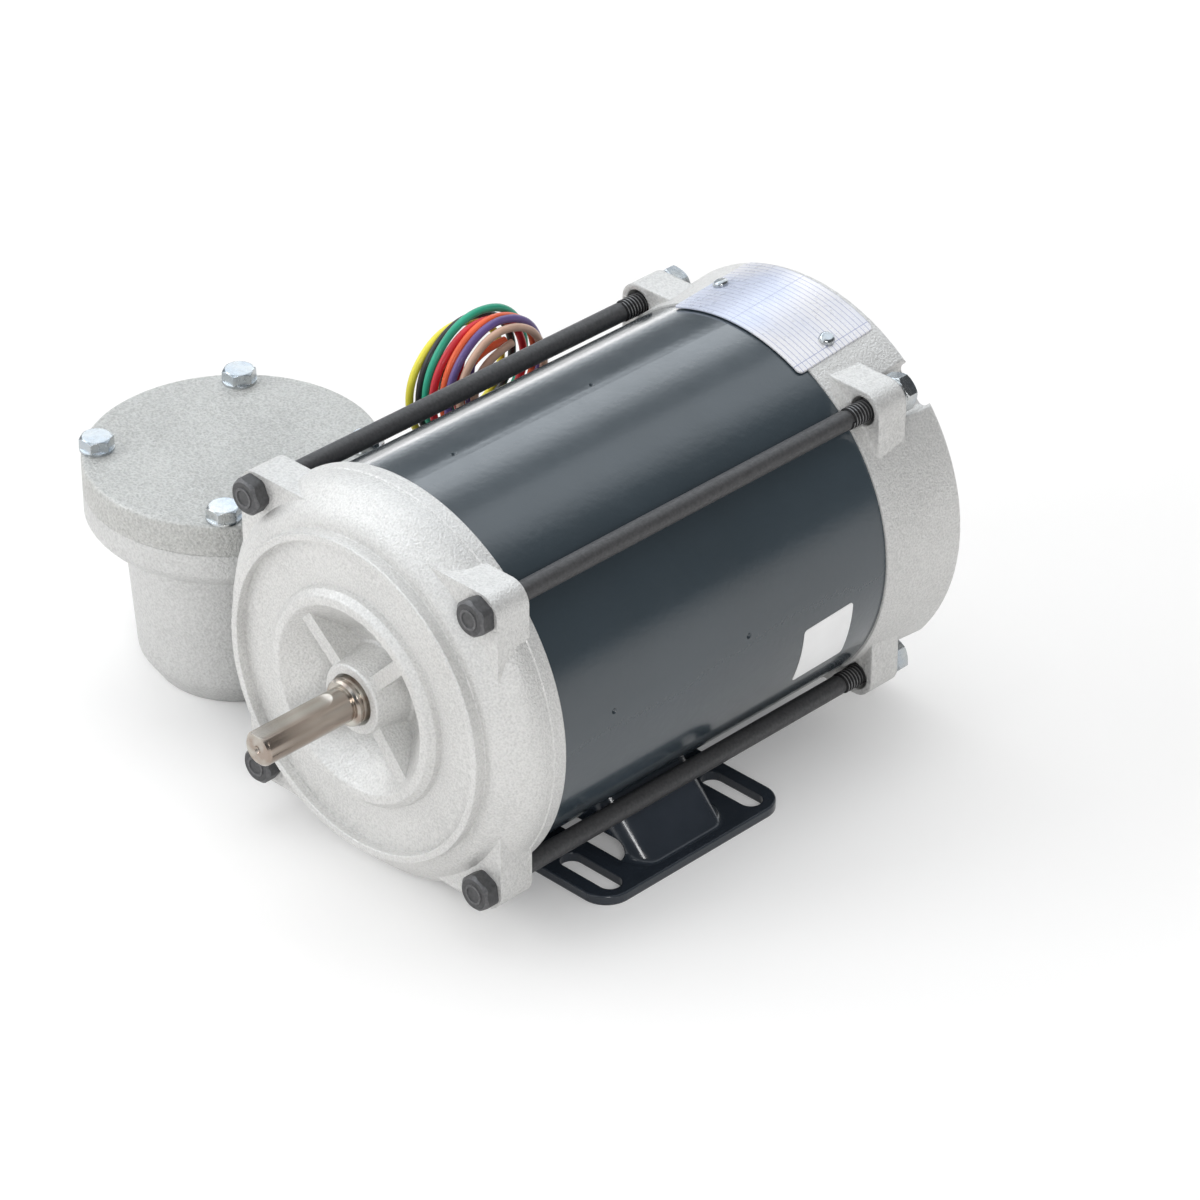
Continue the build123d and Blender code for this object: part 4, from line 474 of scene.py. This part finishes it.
# Rating plate and label
# A thin aluminium plate, bent to the shell and held by two drive screws, with ruled lines and
# no writing, and a blank white film label stuck on the paint.
rule_length, rule_spacing, rule_width = 0.0305, 0.0021, 0.00014
rule_color = (0.36, 0.39, 0.54)
plate_metal, tree, shader = new_finish("plate_metal", (0.86, 0.87, 0.90), 0.2, 0.32)
# Its bluish patches are a painted sheen over the silver.
painted_sheen = vary_color(tree, shader, noise(tree, 24, 2), (0.62, 0.67, 0.80), (0.78, 0.78, 0.81),
                   (0.34, 0.5))
rules = tree.nodes.new("ShaderNodeTexBrick")
rules.offset = 0
rules.inputs["Scale"].default_value = 1
rules.inputs["Brick Width"].default_value = rule_length
rules.inputs["Row Height"].default_value = rule_spacing
rules.inputs["Mortar Size"].default_value = rule_width
rules.inputs["Mortar"].default_value = (*rule_color, 1)
place = tree.nodes.new("ShaderNodeTexCoord")
tree.links.new(place.outputs["Object"], rules.inputs["Vector"])
tree.links.new(painted_sheen.outputs["Color"], rules.inputs["Color1"])
tree.links.new(painted_sheen.outputs["Color"], rules.inputs["Color2"])
tree.links.new(rules.outputs["Color"], shader.inputs["Base Color"])
vary_roughness(tree, shader, noise(tree, 400, 2), 0.24, 0.36)
relief(tree, shader, noise(tree, 700, 2), 0.00002, 0.4, 0.0003)
dress(["nameplate"], plate_metal)

label_film, tree, shader = new_finish("label_film", (0.86, 0.86, 0.86), 0.0, 0.4)
vary_color(tree, shader, noise(tree, 70, 3), (0.91, 0.91, 0.91), (0.97, 0.97, 0.97))
relief(tree, shader, noise(tree, 400, 2), 0.00003, 0.5)
dress(["serial_label"], label_film)


# Inner works
# Everything the shell and the endshields hide: steel laminations, varnished copper, the cast
# rotor cage, both ball bearings, the governor, the start switch and the lead seal.
def inner_finish(name, low, high, metallic, roughness, scale=120, stretch=(1, 1, 1),
                 depth=0.00008):
    """A finish that varies between two colours, with roughness and bumps at finer scales."""
    material, tree, shader = new_finish(name, high, metallic, roughness)
    vary_color(tree, shader, noise(tree, scale, 4, stretch), low, high)
    vary_roughness(tree, shader, noise(tree, scale * 3, 3, stretch), roughness - 0.08,
                   roughness + 0.1)
    relief(tree, shader, noise(tree, scale * 5, 2, stretch), depth, 0.6, 0.0003)
    return material


dress(["stator_core", "rotor_core"],
      inner_finish("stacked_laminations", (0.07, 0.07, 0.08), (0.16, 0.16, 0.18), 0.9, 0.5,
                   scale=60, stretch=(0.1, 30, 0.1)))
dress(["stator_winding"],
      inner_finish("varnished_copper", (0.25, 0.07, 0.02), (0.48, 0.17, 0.06), 0.6, 0.35,
                   scale=300, stretch=(0.3, 1, 0.3), depth=0.0004))
dress(["squirrel_cage"],
      inner_finish("cast_cage", (0.42, 0.42, 0.42), (0.58, 0.58, 0.57), 0.7, 0.5))
dress(["front_bearing_outer_ring", "front_bearing_inner_ring", "front_bearing_balls",
       "rear_bearing_outer_ring", "rear_bearing_inner_ring", "rear_bearing_balls",
       "bearing_preload_spring"],
      inner_finish("bearing_steel", (0.52, 0.53, 0.55), (0.62, 0.63, 0.65), 1.0, 0.2,
                   scale=200, depth=0.00002))
dress(["front_bearing_cage", "rear_bearing_cage", "start_switch_arm", "switch_terminals"],
      inner_finish("sheet_brass", (0.50, 0.34, 0.12), (0.64, 0.47, 0.19), 1.0, 0.32))
dress(["governor_hub", "governor_weight_upper", "governor_weight_lower"],
      inner_finish("yellow_zinc", (0.45, 0.40, 0.22), (0.62, 0.58, 0.38), 1.0, 0.35))
dress(["governor_collar"],
      inner_finish("natural_nylon", (0.66, 0.63, 0.55), (0.76, 0.73, 0.66), 0.0, 0.45))
dress(["start_switch_board"],
      inner_finish("brown_laminate", (0.13, 0.05, 0.02), (0.22, 0.09, 0.035), 0.0, 0.5,
                   scale=200, stretch=(1, 1, 0.2)))
dress(["thermal_protector"],
      inner_finish("black_moulding", (0.012, 0.012, 0.013), (0.02, 0.02, 0.022), 0.0, 0.45))
dress(["lead_bushing"],
      inner_finish("potting_compound", (0.012, 0.011, 0.010), (0.025, 0.022, 0.02), 0.0, 0.6))


# Floor
# A seamless sheet of white paper. For the camera alone it glows a little, more so further away,
# so that it fades into the white backdrop and still keeps the motor's shadow.
glow_distances, glow_strengths = (0.4, 2.5), (0.13, 0.6)
floor_mesh = bpy.data.meshes.new("studio_floor")
floor_bm = bmesh.new()
bmesh.ops.create_grid(floor_bm, x_segments=1, y_segments=1, size=6.0)
floor_bm.to_mesh(floor_mesh)
floor_bm.free()
floor = bpy.data.objects.new("studio_floor", floor_mesh)
bpy.context.scene.collection.objects.link(floor)
floor_paper, tree, shader = new_finish("floor_paper", (0.90, 0.90, 0.90), 0.0, 0.9)
shader.inputs["Specular IOR Level"].default_value = 0.1
shader.inputs["Emission Color"].default_value = (1, 1, 1, 1)
place = tree.nodes.new("ShaderNodeTexCoord")
away = tree.nodes.new("ShaderNodeVectorMath")
away.operation = "LENGTH"
tree.links.new(place.outputs["Object"], away.inputs[0])
wash = tree.nodes.new("ShaderNodeMapRange")
wash.inputs["From Min"].default_value, wash.inputs["From Max"].default_value = glow_distances
wash.inputs["To Min"].default_value, wash.inputs["To Max"].default_value = glow_strengths
tree.links.new(away.outputs["Value"], wash.inputs["Value"])
rays = tree.nodes.new("ShaderNodeLightPath")
glow = tree.nodes.new("ShaderNodeMath")
glow.operation = "MULTIPLY"
tree.links.new(rays.outputs["Is Camera Ray"], glow.inputs[0])
tree.links.new(wash.outputs["Result"], glow.inputs[1])
tree.links.new(glow.outputs["Value"], shader.inputs["Emission Strength"])
floor_mesh.materials.append(floor_paper)


# Backdrop
# White to the camera, and a soft even light. What glossy surfaces mirror is a row of long light
# panels that run front to back, with black flags at the right: each panel's turn from overhead
# in degrees, left negative, has its strength beside it.
light_panels = {
    -180: 1.0, -90: 1.0, -86: 0.9, -83: 0.6, -78: 0.28, -57: 0.3, -52: 2.3, -37: 2.3, -30: 1.3,
    -24: 0.6, -16: 0.6, -10: 1.3, 4: 1.4, 12: 0.9, 20: 0.2, 32: 0.08, 52: 0.08, 62: 0.1,
    86: 0.14, 96: 0.8, 180: 0.8,
}
panel_tint = (0.235, 0.25, 0.265)
panel_gain = 4
world = bpy.data.worlds.new("studio")
bpy.context.scene.world = world
world.use_nodes = True
tree = world.node_tree
room_light = tree.nodes["Background"]
room_light.inputs["Color"].default_value = (1, 1, 1, 1)
room_light.inputs["Strength"].default_value = 0.54
white_backdrop = tree.nodes.new("ShaderNodeBackground")
white_backdrop.inputs["Color"].default_value = (1, 1, 1, 1)
white_backdrop.inputs["Strength"].default_value = 1.0
mirrored_panels = tree.nodes.new("ShaderNodeBackground")
mirrored_panels.inputs["Strength"].default_value = panel_gain

direction = tree.nodes.new("ShaderNodeTexCoord")
split = tree.nodes.new("ShaderNodeSeparateXYZ")
tree.links.new(direction.outputs["Generated"], split.inputs["Vector"])
turn_from_top = tree.nodes.new("ShaderNodeMath")
turn_from_top.operation = "ARCTAN2"
tree.links.new(split.outputs["X"], turn_from_top.inputs[0])
tree.links.new(split.outputs["Z"], turn_from_top.inputs[1])
turn_share = tree.nodes.new("ShaderNodeMapRange")
turn_share.inputs["From Min"].default_value = -math.pi
turn_share.inputs["From Max"].default_value = math.pi
tree.links.new(turn_from_top.outputs["Value"], turn_share.inputs["Value"])
bands = tree.nodes.new("ShaderNodeValToRGB")
while len(bands.color_ramp.elements) < len(light_panels):
    bands.color_ramp.elements.new(0.5)
for stop, (angle, strength) in zip(bands.color_ramp.elements, sorted(light_panels.items())):
    stop.position = angle / 360 + 0.5
    stop.color = (*(strength * share for share in panel_tint), 1)
tree.links.new(turn_share.outputs["Result"], bands.inputs["Fac"])
tree.links.new(bands.outputs["Color"], mirrored_panels.inputs["Color"])

rays = tree.nodes.new("ShaderNodeLightPath")
glossy_mix = tree.nodes.new("ShaderNodeMixShader")
camera_mix = tree.nodes.new("ShaderNodeMixShader")
tree.links.new(rays.outputs["Is Glossy Ray"], glossy_mix.inputs["Fac"])
tree.links.new(room_light.outputs["Background"], glossy_mix.inputs[1])
tree.links.new(mirrored_panels.outputs["Background"], glossy_mix.inputs[2])
tree.links.new(rays.outputs["Is Camera Ray"], camera_mix.inputs["Fac"])
tree.links.new(glossy_mix.outputs["Shader"], camera_mix.inputs[1])
tree.links.new(white_backdrop.outputs["Background"], camera_mix.inputs[2])
tree.links.new(camera_mix.outputs["Shader"], tree.nodes["World Output"].inputs["Surface"])


# Lamps
# Soft studio lamps overhead, at the left, at the right and in front, and a long low strip behind
# the left side. All but the last aim at the middle of the motor.
motor_middle = (0, 0, 0.07)


def soft_lamp(name, place, aim, size, power, mirrored=True):
    """A rectangular lamp of a size in metres and a power in watts, seen in gloss if mirrored."""
    lamp = bpy.data.lights.new(name, "AREA")
    lamp.shape = "RECTANGLE"
    lamp.size, lamp.size_y = size
    lamp.energy = power
    stand = bpy.data.objects.new(name, lamp)
    stand.location = place
    stand.rotation_euler = (Vector(place) - Vector(aim)).to_track_quat("Z", "Y").to_euler()
    stand.visible_glossy = mirrored
    bpy.context.scene.collection.objects.link(stand)


soft_lamp("overhead_lamp", (-0.3, 0.3, 1.6), motor_middle, (1.4, 1.4), 9, mirrored=False)
soft_lamp("left_lamp", (-1.4, -0.7, 0.9), motor_middle, (0.9, 0.9), 4.5)
soft_lamp("right_lamp", (1.2, -0.9, 0.9), motor_middle, (0.4, 0.4), 6.5)
soft_lamp("front_lamp", (-0.75, -1.3, 0.75), motor_middle, (0.7, 0.7), 6.5, mirrored=False)
soft_lamp("edge_lamp", (-1.0, 0.75, 0.07), (0, 0, 0.1), (2.4, 0.09), 1.5)

scene = bpy.context.scene
scene.view_settings.view_transform = "Standard"
